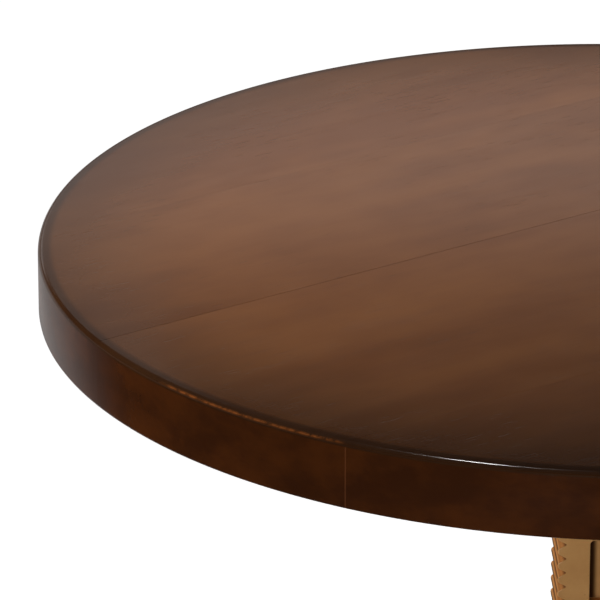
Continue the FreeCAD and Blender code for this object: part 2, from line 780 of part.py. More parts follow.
def gear_case():
    """Cast case round the post: pinion chamber to the left, lock boss to the right."""
    case = Piece("gear_case", z="pinion_height")
    half = "case_height / 2"
    case.pad("XZ_Plane", "-case_y", "2 * case_y", box_path("-case_x", "case_x", "-" + half, half))
    right = number("case_x")
    top = number(half)
    case.soften("case_corner_round", lambda centre, edge: abs(centre.x - right) < 1e-4 and
                abs(abs(centre.z) - top) < 1e-4 and edge.BoundBox.YLength > top / 2)
    web_x = "pinion_x - boss_radius * sin(web_turn)"
    web_z = "boss_radius * cos(web_turn)"
    case.pad("XZ_Plane", "-case_y", "2 * case_y",
             [("-case_x", half), (web_x, web_z, "boss_radius", 1),
              (web_x, "-(%s)" % web_z), ("-case_x", "-" + half),
              ("-case_x + case_wall / 2", "-" + half), ("-case_x + case_wall / 2", half)])
    case.soften("case_edge_round", front_edges("case_y", "-case_y"))
    case.turned([("0", "-%s - skirt_height" % half), ("skirt_radius", "-%s - skirt_height" % half),
                 ("skirt_radius", "-" + half), ("skirt_radius - skirt_inset",
                                                "-%s + skirt_cone" % half),
                 ("0", "-%s + skirt_cone" % half)])
    case.pocket("XY_Plane", "-%s - skirt_height - overrun" % half, "skirt_height + overrun",
                ("0", "0", "column_radius + tube_fit"))
    way_x = "post_width / 2 + channel_gap"
    way_y = "post_depth / 2 + channel_gap"
    case.pocket("XY_Plane", "-%s - overrun" % half, "case_height + 2 * overrun",
                box_path("-(%s)" % way_x, way_x, "-(%s)" % way_y, way_y))
    case.pocket("XY_Plane", half + " - liner_depth", "liner_depth + overrun",
                box_path("-liner_x", "liner_x", "-liner_y", "liner_y"))
    case.pocket("XZ_Plane", "-chamber_back", "case_y + chamber_back + overrun",
                ("pinion_x", "0", "chamber_radius"))
    case.pocket("XZ_Plane", "-case_y - overrun", "case_y + overrun",
                ("pinion_x", "0", "bush_radius + bush_fit"))
    for turn in range(SIZES["cover_screw_count"]):
        x, y = along("(cover_screw_angle + 360 * %d / cover_screw_count)" % turn)
        case.pocket("XZ_Plane", "cover_face - cover_screw_length - pilot_spare",
                    "cover_screw_length + overrun",
                    ("pinion_x + cover_screw_circle * " + x, "cover_screw_circle * " + y,
                     "cover_screw_radius + screw_clearance"))
    case.pad("YZ_Plane", "case_x - case_wall / 2", "lock_boss_length + case_wall / 2",
             ("0", "-lock_drop", "lock_boss_radius"))
    case.pocket("YZ_Plane", "post_width / 2", "lock_face - post_width / 2 + overrun",
                ("0", "-lock_drop", "stud_radius + stud_clearance"))
    case.pocket("YZ_Plane", "post_width / 2", "brake_gap + brake_thickness + stud_clearance",
                ("0", "-lock_drop", "brake_radius + screw_clearance"))
    for side in ("case_x - case_wall / 2", "-(case_x - case_wall / 2)"):
        for level in ("liner_screw_y", "-liner_screw_y"):
            case.pocket("XY_Plane", half + " - liner_screw_length", "liner_screw_length + overrun",
                        (side, level, "liner_screw_radius + screw_clearance"))
    case.pocket("XZ_Plane", "-skirt_radius - overrun", "2 * (skirt_radius + overrun)",
                ("0", "-%s - skirt_height / 2" % half, "set_screw_radius + screw_clearance"))


def case_cover():
    """Turned cover over the pinion chamber, with a long nose that holds the front bush."""
    cover = Piece("case_cover", x="pinion_x", z="pinion_height", turn=TO_FRONT)
    cover.turned([("0", "case_y"), ("cover_radius", "case_y"),
                  ("cover_radius", "cover_face - cover_round"),
                  ("cover_radius - cover_round", "cover_face"),
                  ("cover_nose_radius + cover_nose_draft", "cover_face"),
                  ("cover_nose_radius", "nose_face - cover_round"),
                  ("cover_nose_radius - cover_round", "nose_face"), ("0", "nose_face")])
    cover.pocket("XY_Plane", "case_y - overrun", "nose_face - case_y + 2 * overrun",
                 ("0", "0", "bush_radius + bush_fit"))
    x, y = along("cover_screw_angle")
    cover.pocket("XY_Plane", "case_y - overrun", "cover_thickness + 2 * overrun",
                 ("cover_screw_circle * " + x, "cover_screw_circle * " + y,
                  "cover_screw_radius + screw_clearance"))
    cover.ring("cover_screw_count")


def cover_screws():
    """Cap screws round the cover."""
    screw = Piece("cover_screw", keep=False)
    length = "cover_screw_length"
    screw.pad("XY_Plane", "-" + length, length, ("0", "0", "cover_screw_radius"))
    screw.pad("XY_Plane", "0", "cover_screw_head_height", ("0", "0", "cover_screw_head"))
    screw.pocket("XY_Plane", "cover_screw_head_height - cover_screw_socket_depth",
                 "cover_screw_head_height", hexagon_path("cover_screw_socket"))
    spots = []
    for index in range(SIZES["cover_screw_count"]):
        x, y = along("(cover_screw_angle + 360 * %d / cover_screw_count)" % index)
        spots.append(("pinion_x + cover_screw_circle * " + x, "-cover_face",
                      "pinion_height + cover_screw_circle * " + y, TO_FRONT))
    group("cover_screws", screw, spots)


def shaft_bush(label, level, length):
    """Bronze bush of the crank shaft, from a level towards the front."""
    bush = Piece(label, x="pinion_x", z="pinion_height", turn=TO_FRONT)
    bush.pad("XY_Plane", level, length, ("0", "0", "bush_radius"),
             ("0", "0", "shaft_radius + shaft_clearance"))


def crank_pinion():
    """Involute pinion with a long hub, whose tooth at angle zero fills a notch of the post.

    The flank of an involute of base radius b leaves the base circle where the tooth is
    widest. At radius r it has turned by tan(a) - a from there, where cos(a) = b / r.
    """
    pitch = number("pitch_radius")
    flank = math.atan(number("(notch_mouth - notch_root) / 2 / notch_depth"))
    base = pitch * math.cos(flank)
    outer = number("pinion_outer")
    root = number("pitch_radius - pinion_dedendum")
    teeth = int(number("pinion_teeth"))
    width = number("(notch_mouth + notch_root) / 2 - pinion_backlash")

    def involute(radius):
        lean = math.acos(base / radius)
        return math.tan(lean) - lean

    half_at_base = width / 2 / pitch + involute(pitch)
    steps = [base + (outer - base) * share ** 2 for share in (0.0, 0.35, 0.6, 0.8, 1.0)]

    def spot(radius, turn):
        return Vector(radius * math.cos(turn), radius * math.sin(turn), 0)

    edges = []
    for tooth in range(teeth):
        middle = 2 * math.pi * tooth / teeth
        halves = [half_at_base - involute(radius) for radius in steps]
        rising = [spot(radius, middle - half) for radius, half in zip(steps, halves)]
        falling = [spot(radius, middle + half) for radius, half in zip(steps, halves)][::-1]
        for points in (rising, falling):
            curve = Part.BSplineCurve()
            curve.interpolate(points)
            edges.append(curve.toShape())
        edges.append(Part.Arc(rising[-1], spot(outer, middle), falling[0]).toShape())
        low = spot(root, middle - half_at_base)
        high = spot(root, middle + half_at_base)
        following = spot(root, middle + 2 * math.pi / teeth - half_at_base)
        valley = spot(root, middle + math.pi / teeth)
        edges.append(Part.makeLine(low, rising[0]))
        edges.append(Part.makeLine(falling[-1], high))
        edges.append(Part.Arc(high, valley, following).toShape())
    wire = Part.Wire(Part.__sortEdges__(edges))
    back = -number("pinion_width / 2")
    gear = Part.Face(wire).extrude(Vector(0, 0, number("pinion_width")))
    gear.translate(Vector(0, 0, back))
    hub_back = -number("chamber_back - pinion_end_gap")
    hub_length = number("case_y - pinion_end_gap") - hub_back
    up = Vector(0, 0, 1)
    hub = Part.makeCylinder(number("pinion_hub"), hub_length, Vector(0, 0, hub_back), up)
    bore = Part.makeCylinder(number("shaft_radius + bush_fit"), 2 * hub_length,
                             Vector(0, 0, -hub_length), up)
    slack = number("key_clearance")
    way = number("key_width") / 2 + slack
    reach = number("shaft_radius + key_height / 2") + slack
    keyway = Part.makeBox(2 * way, reach, 2 * hub_length, Vector(-way, 0, -hub_length))
    feature = doc.addObject("Part::Feature", "crank_pinion")
    feature.Shape = gear.fuse(hub).cut(bore).cut(keyway).removeSplitter()
    set_place(feature, x="pinion_x", z="pinion_height", turn=TO_FRONT)
    name_subpart(feature, "crank_pinion")


def crank_shaft():
    """Shaft through the pinion: ring groove at the back, neck and threaded stub in front."""
    shaft = Piece("crank_shaft", x="pinion_x", z="pinion_height", turn=TO_FRONT)
    back = "-(case_y + ring_gap + ring_thickness + shaft_tail)"
    ring_back = "-(case_y + ring_gap + ring_thickness)"
    ring_front = "-(case_y + ring_gap)"
    slim = "shaft_radius - ring_groove"
    end = "arm_face + shaft_stub_length"
    shaft.turned([("0", back), ("shaft_radius - ring_groove", back),
                  ("shaft_radius", back + " + ring_groove"),
                  ("shaft_radius", ring_back), (slim, ring_back), (slim, ring_front),
                  ("shaft_radius", ring_front), ("shaft_radius", "arm_back"),
                  ("shaft_neck", "arm_back"), ("shaft_neck", "arm_face"),
                  ("shaft_stub", "arm_face"), ("shaft_stub", end + " - ring_groove"),
                  ("shaft_stub - ring_groove", end), ("0", end)])
    shaft.pocket("XY_Plane", "-key_length / 2", "key_length",
                 box_path("-key_width / 2 - key_clearance", "key_width / 2 + key_clearance",
                          "shaft_radius - key_height / 2", "shaft_radius + key_height"))
    key = Piece("pinion_key", x="pinion_x", z="pinion_height", turn=TO_FRONT)
    key.pad("XY_Plane", "-key_length / 2 + key_clearance", "key_length - 2 * key_clearance",
            box_path("-key_width / 2", "key_width / 2",
                     "shaft_radius - key_height / 2", "shaft_radius + key_height / 2"))


def retaining_ring():
    """Open ring in the groove behind the gear case."""
    ring = Piece("retaining_ring", x="pinion_x", z="pinion_height", turn=TO_FRONT)
    level = "-(case_y + ring_gap + ring_thickness) + ring_play"
    ring.pad("XY_Plane", level, "ring_thickness - 2 * ring_play",
             ("0", "0", "shaft_radius + ring_reach"), ("0", "0", "shaft_radius - ring_groove"))
    ring.pocket("XY_Plane", level + " - overrun", "ring_thickness + 2 * overrun",
                box_path("-ring_mouth / 2", "ring_mouth / 2", "0", "2 * shaft_radius"))


def crank_arm():
    """Tapered arm with round ends and a groove down its front."""
    turn = TO_FRONT * Rotation(Vector(0, 0, 1), SIZES["crank_rest_angle"])
    arm = Piece("crank_arm", x="pinion_x", z="pinion_height", turn=turn)
    back = "arm_face - arm_thickness"
    end_x = "arm_end_radius * cos(arm_taper_angle)"
    end_y = "-arm_length - arm_end_radius * sin(arm_taper_angle)"
    arm.pad("XY_Plane", back, "arm_thickness",
            [("-arm_hub_end_width", "0"), ("-(%s)" % end_x, end_y), (end_x, end_y),
             ("arm_hub_end_width", "0")])
    arm.pad("XY_Plane", back, "arm_thickness", ("0", "-arm_length", "arm_end_radius"))
    arm.pad("XY_Plane", "arm_back", "arm_hub_length", ("0", "0", "arm_hub_radius"))
    arm.soften("arm_round", level_edges("arm_face", "arm_back"))
    half = "arm_end_radius - arm_groove_wall"
    arm.pocket("XY_Plane", "arm_face - arm_groove_depth", "arm_groove_depth + overrun",
               round_box_path(half, "-arm_length + arm_end_radius + arm_groove_wall / 2",
                              "-arm_hub_radius - arm_groove_wall", "arm_groove_wall"))
    arm.pocket("XY_Plane", "arm_back - overrun", "arm_hub_length + 2 * overrun",
               ("0", "0", "shaft_neck + arm_fit"))
    arm.pocket("XY_Plane", back + " - overrun", "arm_thickness + 2 * overrun",
               ("0", "-arm_length", "spindle_radius + arm_fit"))


def crank_nut():
    """Washer and domed nut on the end of the shaft."""
    washer = Piece("crank_washer", x="pinion_x", z="pinion_height", turn=TO_FRONT)
    washer.pad("XY_Plane", "arm_face", "washer_thickness", ("0", "0", "washer_radius"),
               ("0", "0", "shaft_stub + arm_fit"))
    nut = Piece("crank_nut", x="pinion_x", z="pinion_height", turn=TO_FRONT)
    seat = "arm_face + washer_thickness"
    dome = seat + " + nut_height"
    nut.pad("XY_Plane", seat, "nut_height", hexagon_path("nut_radius"))
    nut.turned([("0", dome + " - nut_wall"), ("nut_dome", dome + " - nut_wall"),
                ("nut_dome", dome, "nut_dome", 1), ("0", dome + " + nut_dome")])
    nut.pocket("XY_Plane", seat + " - overrun",
               "overrun + shaft_stub_length - washer_thickness + nut_bore_spare",
               ("0", "0", "shaft_stub + arm_fit"))


def crank_grip():
    """Turned wooden grip with a metal ferrule, free on a headed spindle."""
    x = "pinion_x + arm_length * sin(crank_rest_angle)"
    z = "pinion_height - arm_length * cos(crank_rest_angle)"
    grip = Piece("crank_grip", x=x, z=z, turn=TO_FRONT)
    start = "grip_back + ferrule_length"
    end = "grip_back + grip_length"
    belly = "grip_back + grip_belly"
    grip.turned([("0", start), ("grip_neck", start, "grip_neck_arc", 1),
                 ("grip_radius", belly, "grip_end_arc", 1), ("grip_end", end), ("0", end)])
    bore = "spindle_radius + spindle_clearance"
    grip.pocket("XY_Plane", start + " - overrun", "grip_length + overrun", ("0", "0", bore))
    grip.pocket("XY_Plane", end + " - grip_sink", "grip_sink + overrun",
                ("0", "0", "spindle_head + spindle_clearance"))
    ferrule = Piece("grip_ferrule", x=x, z=z, turn=TO_FRONT)
    ferrule.turned([(bore, "grip_back"), ("grip_neck", "grip_back"),
                    ("ferrule_radius", "grip_back + ferrule_cone"),
                    ("ferrule_radius", start + " - ferrule_lip"),
                    ("grip_neck", start), (bore, start)])
    spindle = Piece("grip_spindle", x=x, z=z, turn=TO_FRONT)
    seat = end + " - grip_sink + spindle_clearance"
    foot = "arm_face - arm_thickness"
    spindle.turned([("0", foot), ("spindle_radius", foot),
                    ("spindle_radius", seat), ("spindle_head", seat),
                    ("spindle_head", seat + " + spindle_head_height / 2"),
                    ("spindle_radius", seat + " + spindle_head_height"),
                    ("0", seat + " + spindle_head_height")])
    spindle.pocket("XY_Plane", seat + " + spindle_head_height - spindle_slot_depth",
                   "spindle_slot_depth + overrun",
                   box_path("-spindle_head", "spindle_head", "-spindle_slot / 2", "spindle_slot / 2"))


def guide_liner():
    """Bronze liner let into the top of the case, with a lip and four screws."""
    liner = Piece("guide_liner", z="case_top")
    out_x = "liner_x - liner_fit"
    out_y = "liner_y - liner_fit"
    liner.pad("XY_Plane", "-liner_depth", "liner_depth",
              box_path("-(%s)" % out_x, out_x, "-(%s)" % out_y, out_y))
    lip_x = "case_x - liner_lip_inset"
    lip_y = "case_y - liner_lip_inset"
    liner.pad("XY_Plane", "0", "liner_lip",
              box_path("-(%s)" % lip_x, lip_x, "-(%s)" % lip_y, lip_y))
    liner.soften("case_edge_round", upright_edges(lip_x, lip_y))
    liner.soften("liner_lip_chamfer", level_edges("liner_lip"), "Chamfer")
    bore_x = "post_width / 2 + post_clearance"
    bore_y = "post_depth / 2 + post_clearance"
    liner.pocket("XY_Plane", "-liner_depth - overrun", "liner_depth + liner_lip + 2 * overrun",
                 box_path("-(%s)" % bore_x, bore_x, "-(%s)" % bore_y, bore_y))
    spots = []
    for x in ("case_x - case_wall / 2", "-(case_x - case_wall / 2)"):
        for y in ("liner_screw_y", "-liner_screw_y"):
            liner.pocket("XY_Plane", "-overrun", "liner_lip + 2 * overrun",
                         (x, y, "liner_screw_radius + screw_clearance"))
            spots.append((x, y, "case_top + liner_lip", None))
    screw = Piece("liner_screw", keep=False)
    screw.pad("XY_Plane", "-liner_screw_length", "liner_screw_length",
              ("0", "0", "liner_screw_radius"))
    screw.pad("XY_Plane", "0", "liner_screw_head_height", ("0", "0", "liner_screw_head"))
    screw.pocket("XY_Plane", "liner_screw_head_height - liner_screw_slot_depth",
                 "liner_screw_slot_depth + overrun",
                 box_path("-liner_screw_head", "liner_screw_head",
                          "-liner_screw_slot / 2", "liner_screw_slot / 2"))
    group("liner_screws", screw, spots)


def guide_sleeve():
    """Sleeve in the column under the case: lower guide of the post and stop of its shoe."""
    sleeve = Piece("guide_sleeve", z="case_bottom - sleeve_length")
    sleeve.pad("XY_Plane", "0", "sleeve_length", ("0", "0", "tube_inner - sleeve_fit"))
    bore_x = "post_width / 2 + post_clearance"
    bore_y = "post_depth / 2 + post_clearance"
    sleeve.pocket("XY_Plane", "-overrun", "sleeve_length + 2 * overrun",
                  box_path("-(%s)" % bore_x, bore_x, "-(%s)" % bore_y, bore_y))
    height = "sleeve_length - skirt_height / 2"
    for level in ("-tube_inner - overrun", "tube_inner - set_screw_bite - sleeve_fit"):
        sleeve.pocket("XZ_Plane", level, "set_screw_bite + sleeve_fit + overrun",
                      ("0", height, "set_screw_radius + screw_clearance"))


def column():
    """Round tube between the hub and the gear case."""
    tube = Piece("column", z="column_bottom")
    length = "case_bottom - column_bottom"
    tube.pad("XY_Plane", "0", length, ("0", "0", "column_radius"), ("0", "0", "tube_inner"))
    hole = "set_screw_radius + screw_clearance"
    tube.pocket("XZ_Plane", "-column_radius - overrun", "2 * (column_radius + overrun)",
                ("0", "skirt_screw_height - column_bottom", hole))
    tube.pocket("XZ_Plane", "-column_radius - overrun", "2 * (column_radius + overrun)",
                ("0", "hub_screw_height - column_bottom", hole))


def set_screws(label, height, inner, outer):
    """Two headless screws, front and back, through a collar into the column."""
    screw = Piece(label + "_one", keep=False)
    screw.pad("XY_Plane", inner, "%s - set_screw_sink - (%s)" % (outer, inner),
              ("0", "0", "set_screw_radius"))
    screw.pocket("XY_Plane", "%s - set_screw_sink - set_screw_socket_depth" % outer,
                 "set_screw_socket_depth + overrun", hexagon_path("set_screw_socket"))
    to_back = Rotation(Vector(1, 0, 0), -90)
    group(label, screw, [("0", "0", height, TO_FRONT), ("0", "0", height, to_back)])


def base_hub():
    """Cast hub: a rounded drum with four flats for the legs and a neck for the column."""
    hub = Piece("base_hub")
    neck = "column_radius + tube_fit + hub_lip"
    hub.turned([("0", "hub_low"), ("hub_radius - hub_rim_round", "hub_low"),
                ("hub_radius", "hub_low + hub_rim_round"),
                ("hub_radius", "hub_shoulder", "hub_round", -1),
                (neck, "hub_top - hub_rim_round"), (neck + " - hub_rim_round", "hub_top"),
                ("0", "hub_top")])
    hub.pocket("XY_Plane", "column_bottom", "hub_top", ("0", "0", "column_radius + tube_fit"))
    hub.pocket("XY_Plane", "0", "hub_top", ("0", "0", "hub_mouth"))
    hub.pocket("XY_Plane", "hub_low - overrun", "leg_pad_high - hub_low + 2 * overrun",
               box_path("hub_flat", "hub_radius + overrun", "-hub_radius", "hub_radius"))
    hub.ring("leg_count")
    hub.pocket("YZ_Plane", "pad_face - leg_bolt_length - pilot_spare",
               "leg_bolt_length + overrun",
               *[(y, z, "leg_bolt_hole") for y in ("-leg_bolt_spread", "leg_bolt_spread")
                 for z in ("leg_bolt_low", "leg_bolt_high")])
    hub.ring("leg_count")
    hub.pocket("XZ_Plane", "-hub_radius - overrun", "2 * (hub_radius + overrun)",
               ("0", "hub_screw_height", "set_screw_radius + screw_clearance"))


def table_leg(index):
    """Arched leg: a web under a wide rail, a pad against the hub and a round foot."""
    turn = SIZES["leg_first_angle"] + 360.0 * (index - 1) / SIZES["leg_count"]
    leg = Piece("leg_%d" % index, turn=Rotation(Vector(0, 0, 1), turn))
    half_pad = "leg_pad_width / 2"
    leg.pad("YZ_Plane", "hub_flat", "leg_pad_thickness",
            round_box_path(half_pad, "leg_pad_low", "leg_pad_high", "leg_pad_round"))
    root = "hub_flat + leg_pad_thickness / 2"
    rail = "leg_rail_high"
    under = "leg_rail_high - leg_rail_thickness"
    foot = "foot_high"
    leg.pad("XZ_Plane", "-leg_web / 2", "leg_web",
            [(root, rail), (root, "leg_under_high", "leg_under_arc", -1),
             ("leg_reach - foot_radius", "foot_low"), ("leg_reach", "foot_low"),
             ("leg_reach", foot, "leg_top_arc", -1), ("pad_face", rail)])
    leg.pad("XZ_Plane", "-leg_rail_width / 2", "leg_rail_width",
            [(root, rail), (root, under), ("pad_face", under, "leg_top_arc", 1),
             ("leg_reach", foot + " - leg_rail_thickness"),
             ("leg_reach", foot, "leg_top_arc", -1), ("pad_face", rail)])
    leg.pad("XY_Plane", "foot_low", "foot_high - foot_low", ("leg_reach", "0", "foot_radius"))
    top = number("foot_high")
    reach = number("foot_radius")
    leg.soften("foot_round", lambda centre, edge: abs(centre.z - top) < 1e-4 and
               hasattr(edge.Curve, "Radius") and abs(edge.Curve.Radius - reach) < 1e-4)
    for y in ("-leg_bolt_spread", "leg_bolt_spread"):
        for z in ("leg_bolt_low", "leg_bolt_high"):
            leg.pocket("YZ_Plane", "hub_flat - overrun", "leg_pad_thickness + 2 * overrun",
                       (y, z, "leg_bolt_hole"))
    leg.pocket("XY_Plane", "foot_low - overrun", "overrun + glide_stem_length + glide_fit",
               ("leg_reach", "0", "glide_stem + glide_fit"))


def leg_bolts():
    """Cap screws that hold the legs on the hub, four to a leg."""
    bolt = Piece("leg_bolt", keep=False)
    bolt.pad("XY_Plane", "pad_face - leg_bolt_length", "leg_bolt_length",
             ("0", "0", "leg_bolt_radius"))
    bolt.pad("XY_Plane", "pad_face", "leg_bolt_head_height", ("0", "0", "leg_bolt_head"))
    head = number("pad_face + leg_bolt_head_height")
    bolt.soften("leg_bolt_chamfer", lambda centre, edge: abs(centre.z - head) < 1e-4,
                "Chamfer")
    bolt.pocket("XY_Plane", "pad_face + leg_bolt_head_height - leg_bolt_socket_depth",
                "leg_bolt_socket_depth + overrun", hexagon_path("leg_bolt_socket"))
    spots = []
    for index in range(SIZES["leg_count"]):
        angle = SIZES["leg_first_angle"] + 360.0 * index / SIZES["leg_count"]
        turn = Rotation(Vector(0, 0, 1), angle) * TO_RIGHT
        for y in ("leg_bolt_spread", "-leg_bolt_spread"):
            for z in ("leg_bolt_low", "leg_bolt_high"):
                spots.append(("-(%s) * sin(%s)" % (y, angle), "%s * cos(%s)" % (y, angle), z, turn))
    group("leg_bolts", bolt, spots)


def leg_glide(index):
    """Nylon glide pressed into the foot of a leg."""
    angle = SIZES["leg_first_angle"] + 360.0 * (index - 1) / SIZES["leg_count"]
    glide = Piece("leg_glide_%d" % index, x="leg_reach * cos(%s)" % angle,
                  y="leg_reach * sin(%s)" % angle)
    glide.turned([("0", "0"), ("glide_radius - glide_chamfer", "0"),
                  ("glide_radius", "glide_chamfer"), ("glide_radius", "glide_thickness"),
                  ("glide_stem", "glide_thickness"),
                  ("glide_stem", "glide_thickness + glide_stem_length"),
                  ("0", "glide_thickness + glide_stem_length")])


def lock_screw():
    """Lobed knob and stud that press a brake pad against the plain edge of the post."""
    pad = Piece("brake_pad", x="post_width / 2 + brake_gap", z="lock_height", turn=TO_RIGHT)
    pad.pad("XY_Plane", "0", "brake_thickness", ("0", "0", "brake_radius"))
    stud = Piece("lock_stud", x="brake_back + brake_gap", z="lock_height", turn=TO_RIGHT)
    stud.pad("XY_Plane", "0", "stud_reach", ("0", "0", "stud_radius"))
    stud.soften("stud_chamfer", level_edges("0", "stud_reach"), "Chamfer")
    knob = Piece("lock_knob", x="knob_back", z="lock_height", turn=TO_RIGHT)
    knob.pad("XY_Plane", "knob_collar_height", "knob_height",
             ("0", "0", "knob_lobe_circle"))
    knob.pad("XY_Plane", "knob_collar_height", "knob_height",
             ("knob_lobe_circle", "0", "knob_lobe_radius"))
    knob.ring("knob_lobe_count", grows=True)
    knob.soften("knob_chamfer", level_edges("knob_collar_height",
                                            "knob_collar_height + knob_height"), "Chamfer")
    knob.pad("XY_Plane", "0", "knob_collar_height + knob_height / 2",
             ("0", "0", "knob_collar_radius"))
    knob.pocket("XY_Plane", "-overrun",
                "overrun + brake_back + brake_gap + stud_reach - knob_back + screw_clearance",
                ("0", "0", "stud_radius + screw_clearance"))


plank_top()
top_flange()
flange_screws()
rack_post()
post_bolts()
post_shoe()
gear_case()
case_cover()
cover_screws()
shaft_bush("rear_bush", "-case_y", "case_y - chamber_back")
shaft_bush("front_bush", "case_y", "nose_face - case_y")
crank_pinion()
crank_shaft()
retaining_ring()
crank_arm()
crank_nut()
crank_grip()
guide_liner()
guide_sleeve()
column()
set_screws("skirt_screws", "skirt_screw_height", "tube_inner - set_screw_bite + screw_clearance",
           "skirt_radius")
set_screws("hub_screws", "hub_screw_height", "tube_inner", "(column_radius + tube_fit + hub_lip)")
base_hub()
for leg_index in range(1, SIZES["leg_count"] + 1):
    table_leg(leg_index)
    leg_glide(leg_index)
leg_bolts()
lock_screw()

doc.recompute()
for item in doc.Objects:
    if "Invalid" in item.State or "Error" in item.State:
        raise ValueError("%s has failed: %s" % (item.Label, item.State))
os.makedirs("parts", exist_ok=True)
for item in subparts:
    shape = item.Shape
    if shape.isNull() or not shape.isValid() or not shape.Solids:
        raise ValueError(item.Label + " has no sound solid")
    shape.exportStep("parts/%s.step" % item.Label)
print("wrote %d sub-parts" % len(subparts))
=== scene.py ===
"""Looks of the adjustable side table: stained plank top on a toothed brass-coloured post.

Metres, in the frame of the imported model: +Z up, the post's front faces -Y, its teeth -X.
"""

import json
import math

import bmesh
import bpy
import numpy as np
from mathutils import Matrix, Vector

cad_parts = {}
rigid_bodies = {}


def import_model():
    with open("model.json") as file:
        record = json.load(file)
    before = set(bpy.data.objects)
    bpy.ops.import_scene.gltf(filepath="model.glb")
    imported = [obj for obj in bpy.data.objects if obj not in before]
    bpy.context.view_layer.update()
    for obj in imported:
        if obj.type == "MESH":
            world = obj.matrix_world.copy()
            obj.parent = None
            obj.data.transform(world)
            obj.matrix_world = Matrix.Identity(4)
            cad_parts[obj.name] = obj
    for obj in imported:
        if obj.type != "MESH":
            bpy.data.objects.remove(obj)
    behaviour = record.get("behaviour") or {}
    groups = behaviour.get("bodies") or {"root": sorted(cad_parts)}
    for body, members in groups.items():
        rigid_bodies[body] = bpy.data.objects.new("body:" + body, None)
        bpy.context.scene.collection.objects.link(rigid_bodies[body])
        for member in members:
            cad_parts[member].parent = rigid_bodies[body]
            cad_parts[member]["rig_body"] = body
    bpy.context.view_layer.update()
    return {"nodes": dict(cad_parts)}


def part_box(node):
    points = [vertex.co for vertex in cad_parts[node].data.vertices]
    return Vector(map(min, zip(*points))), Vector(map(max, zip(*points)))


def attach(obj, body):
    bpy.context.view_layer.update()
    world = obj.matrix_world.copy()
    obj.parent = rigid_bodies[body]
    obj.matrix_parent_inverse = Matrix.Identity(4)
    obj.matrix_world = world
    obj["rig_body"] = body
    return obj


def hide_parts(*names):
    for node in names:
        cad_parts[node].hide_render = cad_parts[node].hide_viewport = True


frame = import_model()

MM = 0.001

# Top: the planks run along a direction turned from X, and meet at straight joints
PLANK_TURN = math.radians(32.6)
PLANK_COUNT = 4
EDGE_ROUND = 2.4 * MM
UNDER_EDGE_ROUND = 1.6 * MM
# Softening of the planks along each joint: the three joints, with the rim at either end
JOINT_BEVELS = (0.0, 0.015 * MM, 0.12 * MM, 0.015 * MM, 0.0)
# Tone of each plank beside the others, and how far apart their places in the grain are
PLANK_TONES = (0.985, 1.0, 0.98, 1.02)
PLANK_GRAIN_STEP = 1.7
# Mesh of a plank: points along it, rings round its upper and lower edges, degrees of the
# rim from point to point, and the points that even a narrow plank has there
PLANK_COLUMNS = 48
UPPER_RINGS = 9
LOWER_RINGS = 5
RIM_STEP = 0.7
RIM_SPARE = 4
# Angle round the upper edge where it is rubbed, and how far from there, in degrees
WORN_AT = 54.0
WORN_REACH = 10.0
# Stretches of the rim whose edge is rubbed, in degrees from X: start, end and how far
WORN_STRETCHES = ((216.0, 238.4, 1.0), (20.0, 47.0, 0.7), (96.0, 121.0, 0.8), (150.0, 166.0, 0.5),
                  (292.0, 318.0, 0.7), (341.0, 352.0, 0.5))
# Degrees of the rim over which the rubbing fades at the ends of a stretch
WORN_FADE = 2.0
# Top: its upper face darkens over a broad ring that reaches past the rim, and has painted
# shade over a narrow ring just inside the rounded edge, both measured from the rim
BROAD_RING_START = 75.0 * MM
BROAD_RING_PAST = 20.0 * MM
EDGE_SHADE_START = 6.8 * MM
EDGE_SHADE_END = 3.6 * MM
# Half width of the joint's line on the side of the rim, and where it has faded
JOINT_LINE_CORE = 0.10 * MM
JOINT_LINE_REACH = 0.32 * MM

# Post: how far the tips of its teeth and its other edges are rounded
TOOTH_ROUND = 0.95 * MM
POST_ROUND = 0.45 * MM
# Post: how far in from the teeth an edge still lies on a tip, and how long it is at least
TIP_SLACK = 0.02 * MM
TIP_EDGE_LEAST = 1.0 * MM
# Post: depth of the notches between its teeth, and width of the recesses in its front
NOTCH_DEPTH = 3.4 * MM
RECESS_WIDTH = 28.4 * MM
# Post's patina and painted shade, each from where it is full to where it ends: how far below
# the front the recesses and the teeth's flanks start, and how far the painted shadow reaches
# from a recess's wall and the painted light from a tip
RECESS_FLOOR = (1.2 * MM, 0.4 * MM)
FLANK_START = (0.5 * MM, 0.1 * MM)
WALL_SHADOW_REACH = (1.9 * MM, 4.6 * MM)
TIP_LIGHT_REACH = (0.3 * MM, 0.9 * MM)

# Finishes: how far rubbing reaches from an edge, and how deep each surface's texture is
CAST_WEAR = 0.9 * MM
CAST_DEPTH = 0.15 * MM
GRAIN_DEPTH = 0.10 * MM
SCRATCH_DEPTH = 0.05 * MM
NYLON_DEPTH = 0.08 * MM
LEATHER_DEPTH = 0.20 * MM

# Meshes: vertices nearer than this are one, in new pieces and in copies of CAD nodes
MERGE_REACH = 0.001 * MM
CAD_MERGE_REACH = 0.002 * MM
# Meshes, in degrees: faces of a copy that count as flat, edges of a copy that are rounded,
# and edges of a plank that stay sharp
CAD_FLAT_ANGLE = 0.6
CAD_EDGE_ANGLE = 32.0
PLANK_EDGE_ANGLE = 40.0
# Meshes: flats across a rounded edge, and across the rounded tip of a tooth
EDGE_STEPS = 2
TOOTH_STEPS = 3

# Floor: half its width, its tone, and its height, just under the glides, so that their
# lower faces show from below
FLOOR_HALF = 14.0
FLOOR_TONE = 0.8
FLOOR_LEVEL = -0.1 * MM
# Floor: how far from the centre its white starts and stops changing, and that white there
FLOOR_WHITE_REACH = (0.45, 0.95)
FLOOR_WHITE = (0.85, 0.94)
# Floor in reflections: share of its tone that it loses, and how it glows behind the table
FLOOR_LOSS = 0.94
FLOOR_GLOW = 0.24

